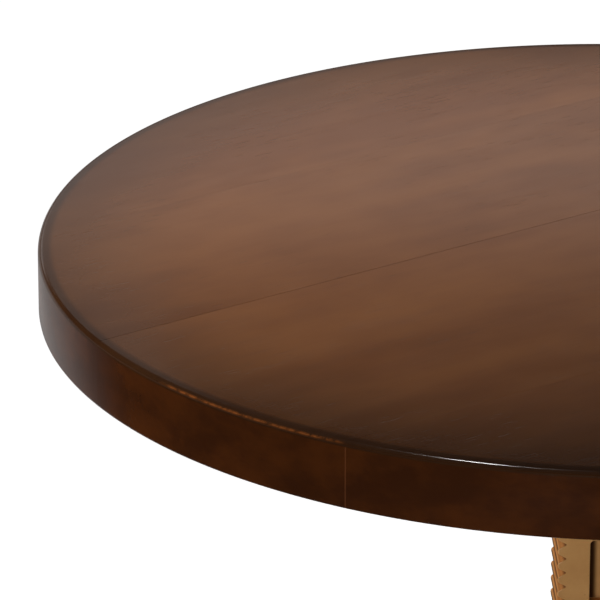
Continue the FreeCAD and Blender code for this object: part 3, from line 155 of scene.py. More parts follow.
# Camera, set by the outline of the top in the photograph: lens and sensor in millimetres,
# distances in metres, angles in radians
CAMERA_LENS = 356.57
CAMERA_SENSOR = 36.0
CAMERA_TURN = math.radians(6.1)
CAMERA_DISTANCE = 2.25905
CAMERA_ABOVE_TOP = 0.87775
CAMERA_HEADING = 0.0474
CAMERA_TILT = 0.3816


def spots_of(mesh):
    """Vertices of a mesh as rows of x, y, z."""
    spots = np.empty(len(mesh.vertices) * 3, np.float32)
    mesh.vertices.foreach_get("co", spots)
    return spots.reshape(-1, 3).astype(float)


def corners_of(node):
    """Vertices of a CAD node as rows of x, y, z."""
    return spots_of(frame["nodes"][node].data)


top_corners = np.concatenate([corners_of("top_plank_%d" % index)
                              for index in range(1, PLANK_COUNT + 1)])
TOP_RADIUS = float(np.abs(top_corners[:, :2]).max())
TOP_Z = float(top_corners[:, 2].max())
UNDER_Z = float(top_corners[:, 2].min())
ACROSS = np.array([-math.sin(PLANK_TURN), math.cos(PLANK_TURN)])
PLANK_SIDES = []
for plank_index in range(1, PLANK_COUNT + 1):
    across_plank = corners_of("top_plank_%d" % plank_index)[:, :2] @ ACROSS
    PLANK_SIDES.append((float(across_plank.min()), float(across_plank.max())))
JOINTS = [far for near, far in PLANK_SIDES[:-1]]


def grid_faces(rows, columns, wrap_columns=False):
    """Quads of a grid of points that are numbered row by row, each as four indices."""
    row = np.arange(rows - 1)
    column = np.arange(columns if wrap_columns else columns - 1)
    row, column = np.meshgrid(row, column, indexing="ij")
    next_column = (column + 1) % columns
    quads = (row * columns + column, row * columns + next_column,
             (row + 1) * columns + next_column, (row + 1) * columns + column)
    return np.stack(quads, axis=-1).reshape(-1, 4)


def smooth(mesh, angle):
    """Smooth shading that breaks where faces meet at more than an angle in degrees."""
    mesh.polygons.foreach_set("use_smooth", np.ones(len(mesh.polygons), bool))
    mesh.set_sharp_from_angle(angle=math.radians(angle))


def clean(mesh, distance, flat_angle=0.0):
    """Merges doubles, drops empty faces and, with an angle, joins faces that lie flat."""
    work = bmesh.new()
    work.from_mesh(mesh)
    bmesh.ops.remove_doubles(work, verts=work.verts, dist=distance)
    bmesh.ops.dissolve_degenerate(work, edges=work.edges, dist=distance)
    if flat_angle:
        bmesh.ops.dissolve_limit(work, angle_limit=math.radians(flat_angle),
                                 verts=work.verts, edges=work.edges)
    work.to_mesh(mesh)
    work.free()
    mesh.update()


def stand_for(piece, nodes, material):
    """Puts a finished piece in the place of CAD nodes of one body."""
    bpy.context.scene.collection.objects.link(piece)
    piece.data.materials.clear()
    piece.data.materials.append(material)
    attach(piece, frame["nodes"][nodes[0]]["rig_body"])
    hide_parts(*nodes)
    return piece


def new_piece(name, points, faces, nodes, material):
    """A mesh of points and quads that stands for CAD nodes."""
    mesh = bpy.data.meshes.new(name)
    mesh.from_pydata(points.tolist(), [], faces.tolist())
    clean(mesh, MERGE_REACH)
    smooth(mesh, PLANK_EDGE_ANGLE)
    return stand_for(bpy.data.objects.new(name, mesh), nodes, material)


def softened(node, material, width, steps=EDGE_STEPS):
    """A copy of a CAD node whose sharp edges are rounded over a width."""
    mesh = frame["nodes"][node].data.copy()
    mesh.name = node + "_soft"
    clean(mesh, CAD_MERGE_REACH, CAD_FLAT_ANGLE)
    smooth(mesh, CAD_EDGE_ANGLE)
    piece = bpy.data.objects.new(node + "_soft", mesh)
    bevel = piece.modifiers.new("edge_round", "BEVEL")
    bevel.width = width
    bevel.segments = steps
    bevel.limit_method = "ANGLE"
    bevel.angle_limit = math.radians(CAD_EDGE_ANGLE)
    bevel.use_clamp_overlap = True
    bevel.harden_normals = True
    return stand_for(piece, [node], material)


def toothed_post(material):
    """A copy of the post: tips of its teeth well rounded, its other edges barely.

    Each edge has a weight: 1 along a tip, less along any other sharp edge, by how much
    less that is rounded, and 0 elsewhere.
    """
    piece = softened("rack_post", material, TOOTH_ROUND, TOOTH_STEPS)
    mesh = piece.data
    spots = spots_of(mesh)
    ends = np.empty(len(mesh.edges) * 2, int)
    mesh.edges.foreach_get("vertices", ends)
    near, far = spots[ends.reshape(-1, 2)].transpose(1, 0, 2)
    outer = spots[:, 0].min() + TIP_SLACK
    across = abs(near[:, 1] - far[:, 1]) > TIP_EDGE_LEAST
    tips = (near[:, 0] < outer) & (far[:, 0] < outer) & across
    sharp = np.zeros(len(mesh.edges), bool)
    mesh.attributes["sharp_edge"].data.foreach_get("value", sharp)
    weights = np.where(tips, 1.0, np.where(sharp, POST_ROUND / TOOTH_ROUND, 0.0))
    mesh.attributes.new("bevel_weight_edge", "FLOAT", "EDGE").data.foreach_set("value", weights)
    bevel = piece.modifiers["edge_round"]
    bevel.limit_method = "WEIGHT"
    bevel.use_clamp_overlap = False
    return piece


class Finish:
    """A material or a shader node group under construction."""

    def __init__(self, tree):
        self.tree = tree

    def feed(self, socket, value):
        """Links another node's output to an input, or sets the input to a plain value."""
        if isinstance(value, bpy.types.NodeSocket):
            self.tree.links.new(value, socket)
        else:
            socket.default_value = value

    def add(self, kind, settings=None, **inputs):
        """A node with its settings, its inputs named by their labels or by i and a number."""
        node = self.tree.nodes.new(kind)
        for name, value in (settings or {}).items():
            setattr(node, name, value)
        for name, value in inputs.items():
            if name[0] == "i" and name[1:].isdigit():
                self.feed(node.inputs[int(name[1:])], value)
            else:
                self.feed(node.inputs[name.replace("_", " ")], value)
        return node

    def math(self, operation, first, second=0.0, third=0.0, clamp=False):
        """Result of one sum on up to three numbers."""
        return self.add("ShaderNodeMath", {"operation": operation, "use_clamp": clamp},
                        i0=first, i1=second, i2=third).outputs[0]

    def noise(self, vector, scale, detail=3.0, roughness=0.5, seed=0.0):
        """Noise from 0 to 1 at a scale per metre."""
        return self.add("ShaderNodeTexNoise", {"noise_dimensions": "4D"}, Vector=vector, W=seed,
                        Scale=scale, Detail=detail, Roughness=roughness).outputs["Fac"]

    def stretch(self, vector, scale=(1.0, 1.0, 1.0), turn=0.0):
        """A place turned about Z and then scaled, to lay a pattern along a direction."""
        turned = self.add("ShaderNodeMapping", {"vector_type": "POINT"}, Vector=vector,
                          Rotation=(0.0, 0.0, turn)).outputs[0]
        return self.add("ShaderNodeMapping", {"vector_type": "POINT"}, Vector=turned,
                        Scale=scale).outputs[0]

    def between(self, value, low, high, out_low=0.0, out_high=1.0):
        """A value carried from one range to another, and held at its ends."""
        return self.add("ShaderNodeMapRange", {"clamp": True, "interpolation_type": "SMOOTHSTEP"},
                        i0=value, i1=low, i2=high, i3=out_low, i4=out_high).outputs[0]

    def mix(self, share, first, second, blend="MIX"):
        """Two colours mixed by a share."""
        return self.add("ShaderNodeMix", {"data_type": "RGBA", "blend_type": blend},
                        i0=share, i6=first, i7=second).outputs[2]

    def mix_number(self, share, first, second):
        """Two numbers mixed by a share."""
        return self.add("ShaderNodeMix", {"data_type": "FLOAT"},
                        i0=share, i2=first, i3=second).outputs[0]

    def grey(self, level):
        """A grey of a level from 0 to 1."""
        return self.add("ShaderNodeCombineColor", i0=level, i1=level, i2=level).outputs[0]

    def bump(self, height, strength, depth):
        """A normal that a height makes uneven, where a height of 1 is as far as the depth."""
        return self.add("ShaderNodeBump", Height=height, Strength=strength,
                        Distance=depth).outputs[0]

    def place(self):
        """Object coordinates."""
        return self.add("ShaderNodeTexCoord").outputs["Object"]

    def normal(self):
        """Normal of the surface, with no bump."""
        return self.add("ShaderNodeNewGeometry").outputs["Normal"]

    def axes(self, vector):
        """The X, Y and Z of a vector."""
        return self.add("ShaderNodeSeparateXYZ", Vector=vector).outputs

    def length(self, vector):
        """How long a vector is."""
        return self.add("ShaderNodeVectorMath", {"operation": "LENGTH"},
                        i0=vector).outputs["Value"]

    def kept(self, label):
        """A number that the mesh keeps at each vertex."""
        return self.add("ShaderNodeAttribute", {"attribute_name": label}).outputs["Fac"]


def colour(red, green, blue):
    """A colour written as it looks on a screen, 0 to 255, as linear light."""
    share = np.array([red, green, blue]) / 255.0
    linear = np.where(share <= 0.04045, share / 12.92, ((share + 0.055) / 1.055) ** 2.4)
    return (*linear.tolist(), 1.0)


def new_group(name, inputs, outputs):
    """An empty node group with named inputs (name, kind, value) and outputs (name, kind)."""
    tree = bpy.data.node_groups.new(name, "ShaderNodeTree")
    for label, kind, value in inputs:
        socket = tree.interface.new_socket(name=label, in_out="INPUT", socket_type=kind)
        if value is not None:
            socket.default_value = value
    for label, kind in outputs:
        tree.interface.new_socket(name=label, in_out="OUTPUT", socket_type=kind)
    finish = Finish(tree)
    start = tree.nodes.new("NodeGroupInput")
    end = tree.nodes.new("NodeGroupOutput")
    return finish, start, end


def new_material(name, **values):
    """A material with one Principled shader, whose plain numbers are set on its sockets."""
    material = bpy.data.materials.new(name)
    material.use_nodes = True
    finish = Finish(material.node_tree)
    shader = material.node_tree.nodes["Principled BSDF"]
    for label, value in values.items():
        shader.inputs[label.replace("_", " ")].default_value = value
    return material, finish, shader


def use_group(finish, group, **inputs):
    """Places a node group in a material, and hands back its outputs."""
    return finish.add("ShaderNodeGroup", {"node_tree": group}, **inputs).outputs


# Kinds of socket of the node groups
NUMBER = "NodeSocketFloat"
VECTOR = "NodeSocketVector"


def wood_group():
    """Grain of stained wood that runs along X: broad streaks, fine lines and short vessels."""
    finish, start, end = new_group(
        "wood_grain", [("Vector", VECTOR, None), ("Seed", NUMBER, 0.0)],
        [("Broad", NUMBER), ("Fine", NUMBER), ("Vessels", NUMBER), ("Height", NUMBER)])
    vector, seed = start.outputs["Vector"], start.outputs["Seed"]
    broad = finish.noise(finish.stretch(vector, (0.22, 1.0, 0.5)), 17.0, 2.0, 0.5, seed)
    wave = finish.noise(finish.stretch(vector, (0.5, 1.0, 1.0)), 60.0, 2.0, 0.5, seed)
    lines = finish.noise(finish.stretch(vector, (0.06, 1.0, 1.0)), 420.0, 4.0, 0.65, seed)
    vessel = finish.noise(finish.stretch(vector, (0.10, 1.0, 1.0)), 900.0, 1.0, 0.5, seed)
    patch = finish.noise(finish.stretch(vector, (0.6, 1.0, 1.0)), 34.0, 2.0, 0.5, seed)
    short = finish.between(vessel, 0.60, 0.74)
    dashes = finish.math("MULTIPLY", short, finish.between(patch, 0.36, 0.62, 0.25, 1.0))
    grit = finish.noise(vector, 1100.0, 2.0, 0.5, seed)
    height = finish.math("ADD", finish.math("MULTIPLY", lines, 0.12),
                         finish.math("MULTIPLY", grit, 0.35))
    height = finish.math("SUBTRACT", height, dashes)
    finish.feed(end.inputs["Broad"], finish.math("ADD", finish.math("MULTIPLY", broad, 0.7),
                                                 finish.math("MULTIPLY", wave, 0.3)))
    finish.feed(end.inputs["Fine"], lines)
    finish.feed(end.inputs["Vessels"], dashes)
    finish.feed(end.inputs["Height"], height)
    return finish.tree


def cast_group():
    """Skin of a sand casting: soft mottling, fine grain and small pits."""
    finish, start, end = new_group(
        "cast_skin", [("Vector", VECTOR, None), ("Grain", NUMBER, 900.0)],
        [("Mottle", NUMBER), ("Pits", NUMBER), ("Height", NUMBER)])
    vector, grain = start.outputs["Vector"], start.outputs["Grain"]
    mottle = finish.noise(vector, 55.0, 4.0, 0.6)
    fine = finish.noise(vector, grain, 2.0, 0.5)
    pit = finish.noise(vector, 380.0, 1.0, 0.5, 3.0)
    pits = finish.between(pit, 0.66, 0.78)
    height = finish.math("SUBTRACT", finish.math("MULTIPLY", fine, 0.5),
                         finish.math("MULTIPLY", pits, 0.8))
    finish.feed(end.inputs["Mottle"], mottle)
    finish.feed(end.inputs["Pits"], pits)
    finish.feed(end.inputs["Height"], height)
    return finish.tree


def wear_group():
    """Where an edge is rubbed: the normal of a rounded surface leaves the true one there."""
    finish, start, end = new_group(
        "edge_wear", [("Vector", VECTOR, None), ("Reach", NUMBER, CAST_WEAR)],
        [("Edge", NUMBER)])
    bevel = finish.add("ShaderNodeBevel", {"samples": 4}, Radius=start.outputs["Reach"])
    along = finish.add("ShaderNodeVectorMath", {"operation": "DOT_PRODUCT"},
                       i0=bevel.outputs[0], i1=finish.normal()).outputs["Value"]
    edge = finish.between(along, 0.995, 0.85)
    uneven = finish.between(finish.noise(start.outputs["Vector"], 160.0, 3.0, 0.6), 0.35, 0.62)
    finish.feed(end.inputs["Edge"], finish.math("MULTIPLY", edge, uneven))
    return finish.tree


WOOD = wood_group()
CAST = cast_group()
WEAR = wear_group()


def top_stain_and_shade(finish, grain, reach, tint):
    """Stain of the upper face: streaks, fine lines and vessels.

    It is darker towards the rim, with painted shade over a narrow ring just inside the rounded
    edge.
    """
    tone = finish.mix(finish.between(grain["Broad"], 0.34, 0.66),
                      colour(96, 56, 28), colour(112, 69, 36))
    tone = finish.mix(finish.between(grain["Fine"], 0.42, 0.78, 0.0, 0.09),
                      tone, colour(70, 38, 18))
    tone = finish.mix(finish.math("MULTIPLY", grain["Vessels"], 0.13), tone, colour(58, 30, 14))
    broad = finish.between(reach, TOP_RADIUS - BROAD_RING_START, TOP_RADIUS + BROAD_RING_PAST,
                           1.0, 0.45)
    # Painted shade over a narrow ring just inside the rounded edge
    dark = finish.between(reach, TOP_RADIUS - EDGE_SHADE_START, TOP_RADIUS - EDGE_SHADE_END,
                          1.0, 0.52)
    shade = finish.math("MULTIPLY", finish.math("MULTIPLY", broad, dark), tint)
    return finish.mix(1.0, tone, finish.grey(shade), "MULTIPLY")


def side_stain(finish, place):
    """Stain of the side of the rim, dark with browner patches."""
    patch = finish.noise(finish.stretch(place, (1.0, 1.0, 1.6)), 34.0, 4.0, 0.65, 4.0)
    return finish.mix(finish.between(patch, 0.38, 0.66), colour(57, 28, 11), colour(74, 37, 13))


def joint_line(finish, along):
    """Line of the first joint, as a mask by the distance across the planks."""
    off = finish.math("ABSOLUTE", finish.math("SUBTRACT", finish.axes(along)["Y"], JOINTS[0]))
    return finish.between(off, JOINT_LINE_CORE, JOINT_LINE_REACH, 0.3, 0.0)


def walnut_top():
    """Stained wood under satin lacquer, darker towards the rim and rubbed along its edge.

    The side has a stain of its own, from the foot of the rounded edge down. The coat lies
    on the upper half of that edge where it isn't rubbed, full at the front of the table and
    thin further back.
    """
    material, finish, shader = new_material("walnut_top", Specular_IOR_Level=0.27,
                                            Coat_Roughness=0.12, Coat_IOR=1.8)
    place = finish.place()
    spot = finish.axes(place)
    along = finish.stretch(place, turn=-PLANK_TURN)
    grain = use_group(finish, WOOD, Vector=along, Seed=finish.kept("plank"))
    reach = finish.length(finish.stretch(place, (1.0, 1.0, 0.0)))
    side = finish.between(spot["Z"], TOP_Z - 1.2 * EDGE_ROUND, TOP_Z - 0.8 * EDGE_ROUND, 1.0, 0.0)
    tone = finish.mix(side, top_stain_and_shade(finish, grain, reach, finish.kept("tint")),
                      side_stain(finish, place))
    tone = finish.mix(finish.math("MULTIPLY", side, joint_line(finish, along)), tone,
                      colour(140, 84, 52))
    rubbed = finish.between(finish.noise(place, 260.0, 3.0, 0.7, 2.0), 0.32, 0.62)
    rubbed = finish.math("MULTIPLY", finish.kept("worn"), rubbed)
    tone = finish.mix(finish.math("MULTIPLY", rubbed, 0.8), tone, colour(150, 82, 34))
    edge = finish.between(reach, TOP_RADIUS - EDGE_ROUND, TOP_RADIUS - 0.6 * EDGE_ROUND)
    rough = finish.between(grain["Fine"], 0.3, 0.7, 0.19, 0.23)
    rough = finish.math("SUBTRACT", rough, finish.math("MULTIPLY", edge, 0.05))
    rough = finish.math("ADD", rough, finish.math("MULTIPLY", rubbed, 0.2))
    upper = finish.between(spot["Z"], TOP_Z - 0.6 * EDGE_ROUND, TOP_Z - 0.4 * EDGE_ROUND)
    front = finish.between(spot["Y"], -0.75 * TOP_RADIUS, -0.35 * TOP_RADIUS, 1.0, 0.2)
    coat = finish.math("MULTIPLY", finish.math("MULTIPLY", edge, upper), front)
    coat = finish.math("SUBTRACT", coat, rubbed, clamp=True)
    finish.feed(shader.inputs["Base Color"], tone)
    finish.feed(shader.inputs["Roughness"], rough)
    finish.feed(shader.inputs["Coat Weight"], coat)
    finish.feed(shader.inputs["Normal"], finish.bump(grain["Height"], 0.17, GRAIN_DEPTH))
    return material


def cast_brass(name, light, dark, roughness, grain, strength, toothed=False):
    """Brass-coloured finish on a casting, darker where it is pitted and pale where rubbed."""
    material, finish, shader = new_material(name, Metallic=0.28,
                                            Specular_Tint=colour(246, 196, 136))
    place = finish.place()
    skin = use_group(finish, CAST, Vector=place, Grain=grain)
    edge = use_group(finish, WEAR, Vector=place, Reach=CAST_WEAR)["Edge"]
    tone = finish.mix(finish.between(skin["Mottle"], 0.3, 0.7), dark, light)
    tone = finish.mix(finish.math("MULTIPLY", skin["Pits"], 0.45), tone, colour(96, 58, 30))
    tone = finish.mix(finish.math("MULTIPLY", edge, 0.6), tone, colour(236, 184, 120))
    # On the post: its patina, with painted shade and painted light
    if toothed:
        tone, dull = post_patina_shade_and_light(finish, place, tone)
        rough = finish.math("MULTIPLY_ADD", dull, 0.4, roughness)
    else:
        rough = finish.between(skin["Mottle"], 0.25, 0.75, roughness - 0.06, roughness + 0.06)
    finish.feed(shader.inputs["Base Color"], tone)
    finish.feed(shader.inputs["Roughness"], rough)
    finish.feed(shader.inputs["Normal"], finish.bump(skin["Height"], strength, CAST_DEPTH))
    return material


def post_patina_shade_and_light(finish, place, tone):
    """Patina, painted shade and painted light of the post; also says where it is dull."""
    spot = finish.axes(place)
    depth = finish.math("ABSOLUTE", spot["Y"])
    normal = finish.axes(finish.normal())
    tone, flank = tooth_patina_shade_and_light(finish, spot, depth, normal, tone)
    return recess_painted_shadow(finish, spot, depth, normal, tone), flank


def tooth_patina_shade_and_light(finish, spot, depth, normal, tone):
    """Patina of the teeth with painted shade and light on them, and where their flanks are.

    The flanks have an orange patina, with painted shade that darkens it at the roots and where
    they face down. The tips carry painted light, and the rounded edges that face both up and to
    the front or the back a painted highlight.
    """
    # Colour of the painted shade at the roots and under the teeth
    shade_brown = colour(84, 42, 14)
    teeth = finish.between(spot["X"], TEETH_X + 1.1 * NOTCH_DEPTH, TEETH_X + 1.3 * NOTCH_DEPTH,
                           1.0, 0.0)
    flank = finish.between(depth, POST_HALF_DEPTH - FLANK_START[0],
                           POST_HALF_DEPTH - FLANK_START[1], 1.0, 0.0)
    flank = finish.math("MULTIPLY", teeth, flank)
    tone = finish.mix(finish.math("MULTIPLY", flank, 0.55), tone, colour(196, 112, 46))
    # Painted shade, deepening towards the roots of the notches
    root = finish.between(spot["X"], TEETH_X + 0.5 * NOTCH_DEPTH, TEETH_X + 0.95 * NOTCH_DEPTH,
                          0.0, 0.8)
    tone = finish.mix(finish.math("MULTIPLY", flank, root), tone, shade_brown)
    # Painted shade where the flanks face down
    under = finish.math("MULTIPLY", flank, finish.between(normal["Z"], -0.7, -0.4, 0.6, 0.0))
    tone = finish.mix(under, tone, shade_brown)
    # Painted light on the tips of the teeth
    tip = finish.between(spot["X"], TEETH_X + TIP_LIGHT_REACH[0], TEETH_X + TIP_LIGHT_REACH[1], 0.4, 0.0)
    tone = finish.mix(tip, tone, colour(250, 190, 124))
    # Painted highlight on rounded edges that face both up and to the front or the back
    rounded = finish.math("ADD", normal["Z"], finish.math("ABSOLUTE", normal["Y"]))
    rounded = finish.math("MULTIPLY", teeth, finish.between(rounded, 1.20, 1.34, 0.0, 0.9))
    return finish.mix(rounded, tone, colour(255, 220, 172)), flank


def recess_painted_shadow(finish, spot, depth, normal, tone):
    """Painted shadow in the recesses, beside their side walls but not on what faces up."""
    inside = finish.between(depth, POST_HALF_DEPTH - RECESS_FLOOR[0],
                            POST_HALF_DEPTH - RECESS_FLOOR[1], 1.0, 0.0)
    from_wall = finish.math("SUBTRACT", RECESS_WIDTH / 2, finish.math("ABSOLUTE", spot["X"]))
    # Painted shadow: darker beside a recess's side walls, and not on what faces up
    wall_shadow = finish.math("MULTIPLY", inside, finish.between(normal["Z"], 0.3, 0.7, 1.0, 0.0))
    wall_shadow = finish.math("MULTIPLY", wall_shadow,
                         finish.between(from_wall, WALL_SHADOW_REACH[0], WALL_SHADOW_REACH[1], 0.93, 0.0))
    return finish.mix(wall_shadow, tone, colour(62, 26, 8))


def plain_metal(name, light, dark, roughness, scratch):
    """Turned or drawn metal with faint scratches and a tone that wanders."""
    material, finish, shader = new_material(name, Metallic=1.0)
    place = finish.place()
    mottle = finish.noise(place, 120.0, 4.0, 0.6)
    lines = finish.noise(finish.stretch(place, scratch), 1500.0, 2.0, 0.6)
    tone = finish.mix(finish.between(mottle, 0.3, 0.7), dark, light)
    rough = finish.between(mottle, 0.25, 0.75, roughness - 0.05, roughness + 0.07)
    finish.feed(shader.inputs["Base Color"], tone)
    finish.feed(shader.inputs["Roughness"], rough)
    finish.feed(shader.inputs["Normal"], finish.bump(lines, 0.12, SCRATCH_DEPTH))
    return material


def black_nylon():
    """Moulded nylon of the guide sleeve, the shoe and the glides."""
    material, finish, shader = new_material("black_nylon")
    fine = finish.noise(finish.place(), 1400.0, 2.0, 0.5)
    tone = finish.mix(fine, colour(24, 24, 25), colour(40, 39, 38))
    finish.feed(shader.inputs["Base Color"], tone)
    finish.feed(shader.inputs["Roughness"], finish.between(fine, 0.3, 0.7, 0.42, 0.58))
    finish.feed(shader.inputs["Normal"], finish.bump(fine, 0.2, NYLON_DEPTH))
    return material


def brake_leather():
    """Hard leather of the brake pad."""
    material, finish, shader = new_material("brake_leather", Roughness=0.7)
    cells = finish.add("ShaderNodeTexVoronoi", Vector=finish.place(),
                       Scale=900.0).outputs["Distance"]
    tone = finish.mix(cells, colour(62, 38, 22), colour(112, 74, 44))
    finish.feed(shader.inputs["Base Color"], tone)
    finish.feed(shader.inputs["Normal"], finish.bump(cells, 0.4, LEATHER_DEPTH))
    return material


def walnut_grip():
    """Turned grip of the crank, its grain along the grip's own axis."""
    material, finish, shader = new_material(
        "walnut_grip", Coat_Weight=0.3, Coat_Roughness=0.2, Coat_IOR=1.45)
    along = finish.stretch(finish.place(), turn=math.pi / 2)
    grain = use_group(finish, WOOD, Vector=along, Seed=9.0)
    tone = finish.mix(finish.between(grain["Broad"], 0.36, 0.66),
                      colour(70, 40, 22), colour(112, 70, 42))
    tone = finish.mix(finish.math("MULTIPLY", grain["Vessels"], 0.6), tone, colour(30, 15, 8))
    finish.feed(shader.inputs["Base Color"], tone)
    finish.feed(shader.inputs["Roughness"], finish.between(grain["Fine"], 0.3, 0.7, 0.32, 0.46))
    finish.feed(shader.inputs["Normal"], finish.bump(grain["Height"], 0.3, GRAIN_DEPTH))
    return material


# Half the depth of the post, and where the tips of its teeth are
post_low, post_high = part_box("rack_post")
POST_HALF_DEPTH = post_high[1]
TEETH_X = post_low[0]

FINISHES = {
    "walnut_top": walnut_top(),
    "cast_brass_finish": cast_brass("cast_brass_finish", colour(222, 166, 104),
                                    colour(204, 146, 86), 0.46, 900.0, 0.35),
    "post_brass": cast_brass("post_brass", colour(224, 170, 108), colour(212, 156, 96),
                             0.46, 900.0, 0.3, toothed=True),
    "tube_brass_finish": cast_brass("tube_brass_finish", colour(216, 160, 100),
                                    colour(200, 142, 84), 0.38, 2200.0, 0.12),
    "steel_fastener": plain_metal("steel_fastener", colour(120, 96, 66), colour(86, 66, 44),
                                  0.38, (1.0, 1.0, 1.0)),
    "bright_steel": plain_metal("bright_steel", colour(196, 194, 190), colour(160, 158, 154),
                                0.28, (1.0, 0.05, 1.0)),
    "bronze_bearing": plain_metal("bronze_bearing", colour(206, 156, 92), colour(170, 120, 66),
                                  0.34, (1.0, 1.0, 0.1)),
    "black_nylon": black_nylon(),
    "brake_leather": brake_leather(),
    "walnut_grip": walnut_grip(),
}


def plank_outline(low, high, inset, shares, columns):
    """Outline of one plank in its own frame: x along the plank, y across it.

    The ends follow the circle of the top less an inset, and the sides the two joints. Each
    end point is at an angle between the angles where the joints cut the circle.
    """
    radius = TOP_RADIUS - inset
    first = math.asin(max(-1.0, low / radius))
    last = math.asin(min(1.0, high / radius))
    turn = first + (last - first) * shares
    right = np.stack([radius * np.cos(turn), radius * np.sin(turn)], axis=1)
    left = right[::-1] * [-1.0, 1.0]
    across = np.linspace(-1.0, 1.0, columns)[1:-1, None]
    near = right[0] * [1.0, 0.0] * across + right[0] * [0.0, 1.0]
    far = right[-1] * [-1.0, 0.0] * across + right[-1] * [0.0, 1.0]
    return np.concatenate([near, right, far, left])


def plank(index, low, high):
    """One plank of the top: flat faces, a rounded rim and barely softened joints.

    Rings of the outline follow each other down the edge: a quarter round from the top
    face, the upright side, and a smaller quarter round to the lower face. Both faces are
    grids whose rows lie across the plank.
    """
    rim_low = low <= -TOP_RADIUS + EDGE_ROUND
    rim_high = high >= TOP_RADIUS - EDGE_ROUND
    span = math.degrees(math.asin(min(1.0, high / TOP_RADIUS))
                        - math.asin(max(-1.0, low / TOP_RADIUS)))
    rows = int(span / RIM_STEP) + RIM_SPARE
    columns = PLANK_COLUMNS
    shares = np.linspace(0.0, 1.0, rows)
    rings = []
    for step in np.linspace(0.0, math.pi / 2, UPPER_RINGS):
        rings.append((EDGE_ROUND * (1 - math.sin(step)), 1.0 - math.sin(step),
                      TOP_Z - EDGE_ROUND * (1 - math.cos(step))))
    for step in np.linspace(math.pi / 2, 0.0, LOWER_RINGS):
        rings.append((UNDER_EDGE_ROUND * (1 - math.sin(step)), 1.0 - math.sin(step),
                      UNDER_Z + UNDER_EDGE_ROUND * (1 - math.cos(step))))
    loops = []
    for inset, share, height in rings:
        start = -(TOP_RADIUS - inset) if rim_low else low + JOINT_BEVELS[index - 1] * share
        end = TOP_RADIUS - inset if rim_high else high - JOINT_BEVELS[index] * share
        outline = plank_outline(start, end, inset, shares, columns)
        loops.append(np.column_stack([outline, np.full(len(outline), height)]))
    points = np.concatenate(loops)
    count = len(loops[0])
    faces = [grid_faces(len(loops), count, wrap_columns=True)[:, ::-1]]
    for loop, flip in ((loops[0], False), (loops[-1], True)):
        right = loop[columns - 2:columns - 2 + rows]
        across = np.linspace(-1.0, 1.0, columns)
        sheet = np.stack([np.outer(right[:, 0], across), np.outer(right[:, 1], np.ones(columns)),
                          np.full((rows, columns), right[0, 2])], axis=-1).reshape(-1, 3)
        quads = grid_faces(rows, columns) + len(points)
        faces.append(quads[:, ::-1] if flip else quads)
        points = np.concatenate([points, sheet])
    cos, sin = math.cos(PLANK_TURN), math.sin(PLANK_TURN)
    placed = points @ np.array([[cos, sin, 0.0], [-sin, cos, 0.0], [0.0, 0.0, 1.0]])
    name = "top_plank_%d" % index
    piece = new_piece(name + "_board", placed, np.concatenate(faces), [name],
                      FINISHES["walnut_top"])
    spots = spots_of(piece.data)
    for label, values in (("plank", np.full(len(spots), index * PLANK_GRAIN_STEP)),
                          ("tint", np.full(len(spots), PLANK_TONES[index - 1])),
                          ("worn", edge_wear(spots))):
        piece.data.attributes.new(label, "FLOAT", "POINT").data.foreach_set("value", values)
    return piece


def edge_wear(spots):
    """How far each vertex of the rim is rubbed.

    It follows a bell curve in the angle round the upper edge, 0 at the top face and 90 at
    the side, and is kept only along the worn stretches, which fade at their ends.
    """
    inward = (TOP_RADIUS - np.hypot(spots[:, 0], spots[:, 1])) / EDGE_ROUND
    drop = (TOP_Z - spots[:, 2]) / EDGE_ROUND
    way = np.arctan2(1.0 - inward.clip(0.0, 1.0), 1.0 - drop.clip(0.0, 1.0))
    ridge = np.exp(-((np.degrees(way) - WORN_AT) / WORN_REACH) ** 2) * (inward < 1.0) * (drop < 1.0)
    turn = np.degrees(np.arctan2(spots[:, 1], spots[:, 0])) % 360.0
    rubbed = np.zeros(len(spots))
    for first, last, depth in WORN_STRETCHES:
        inside = np.minimum(turn - first, last - turn) / WORN_FADE
        rubbed = np.maximum(rubbed, depth * inside.clip(0.0, 1.0))
    return (ridge * rubbed).clip(0.0, 1.0)


for plank_index, (near, far) in enumerate(PLANK_SIDES, start=1):
    plank(plank_index, near, far)

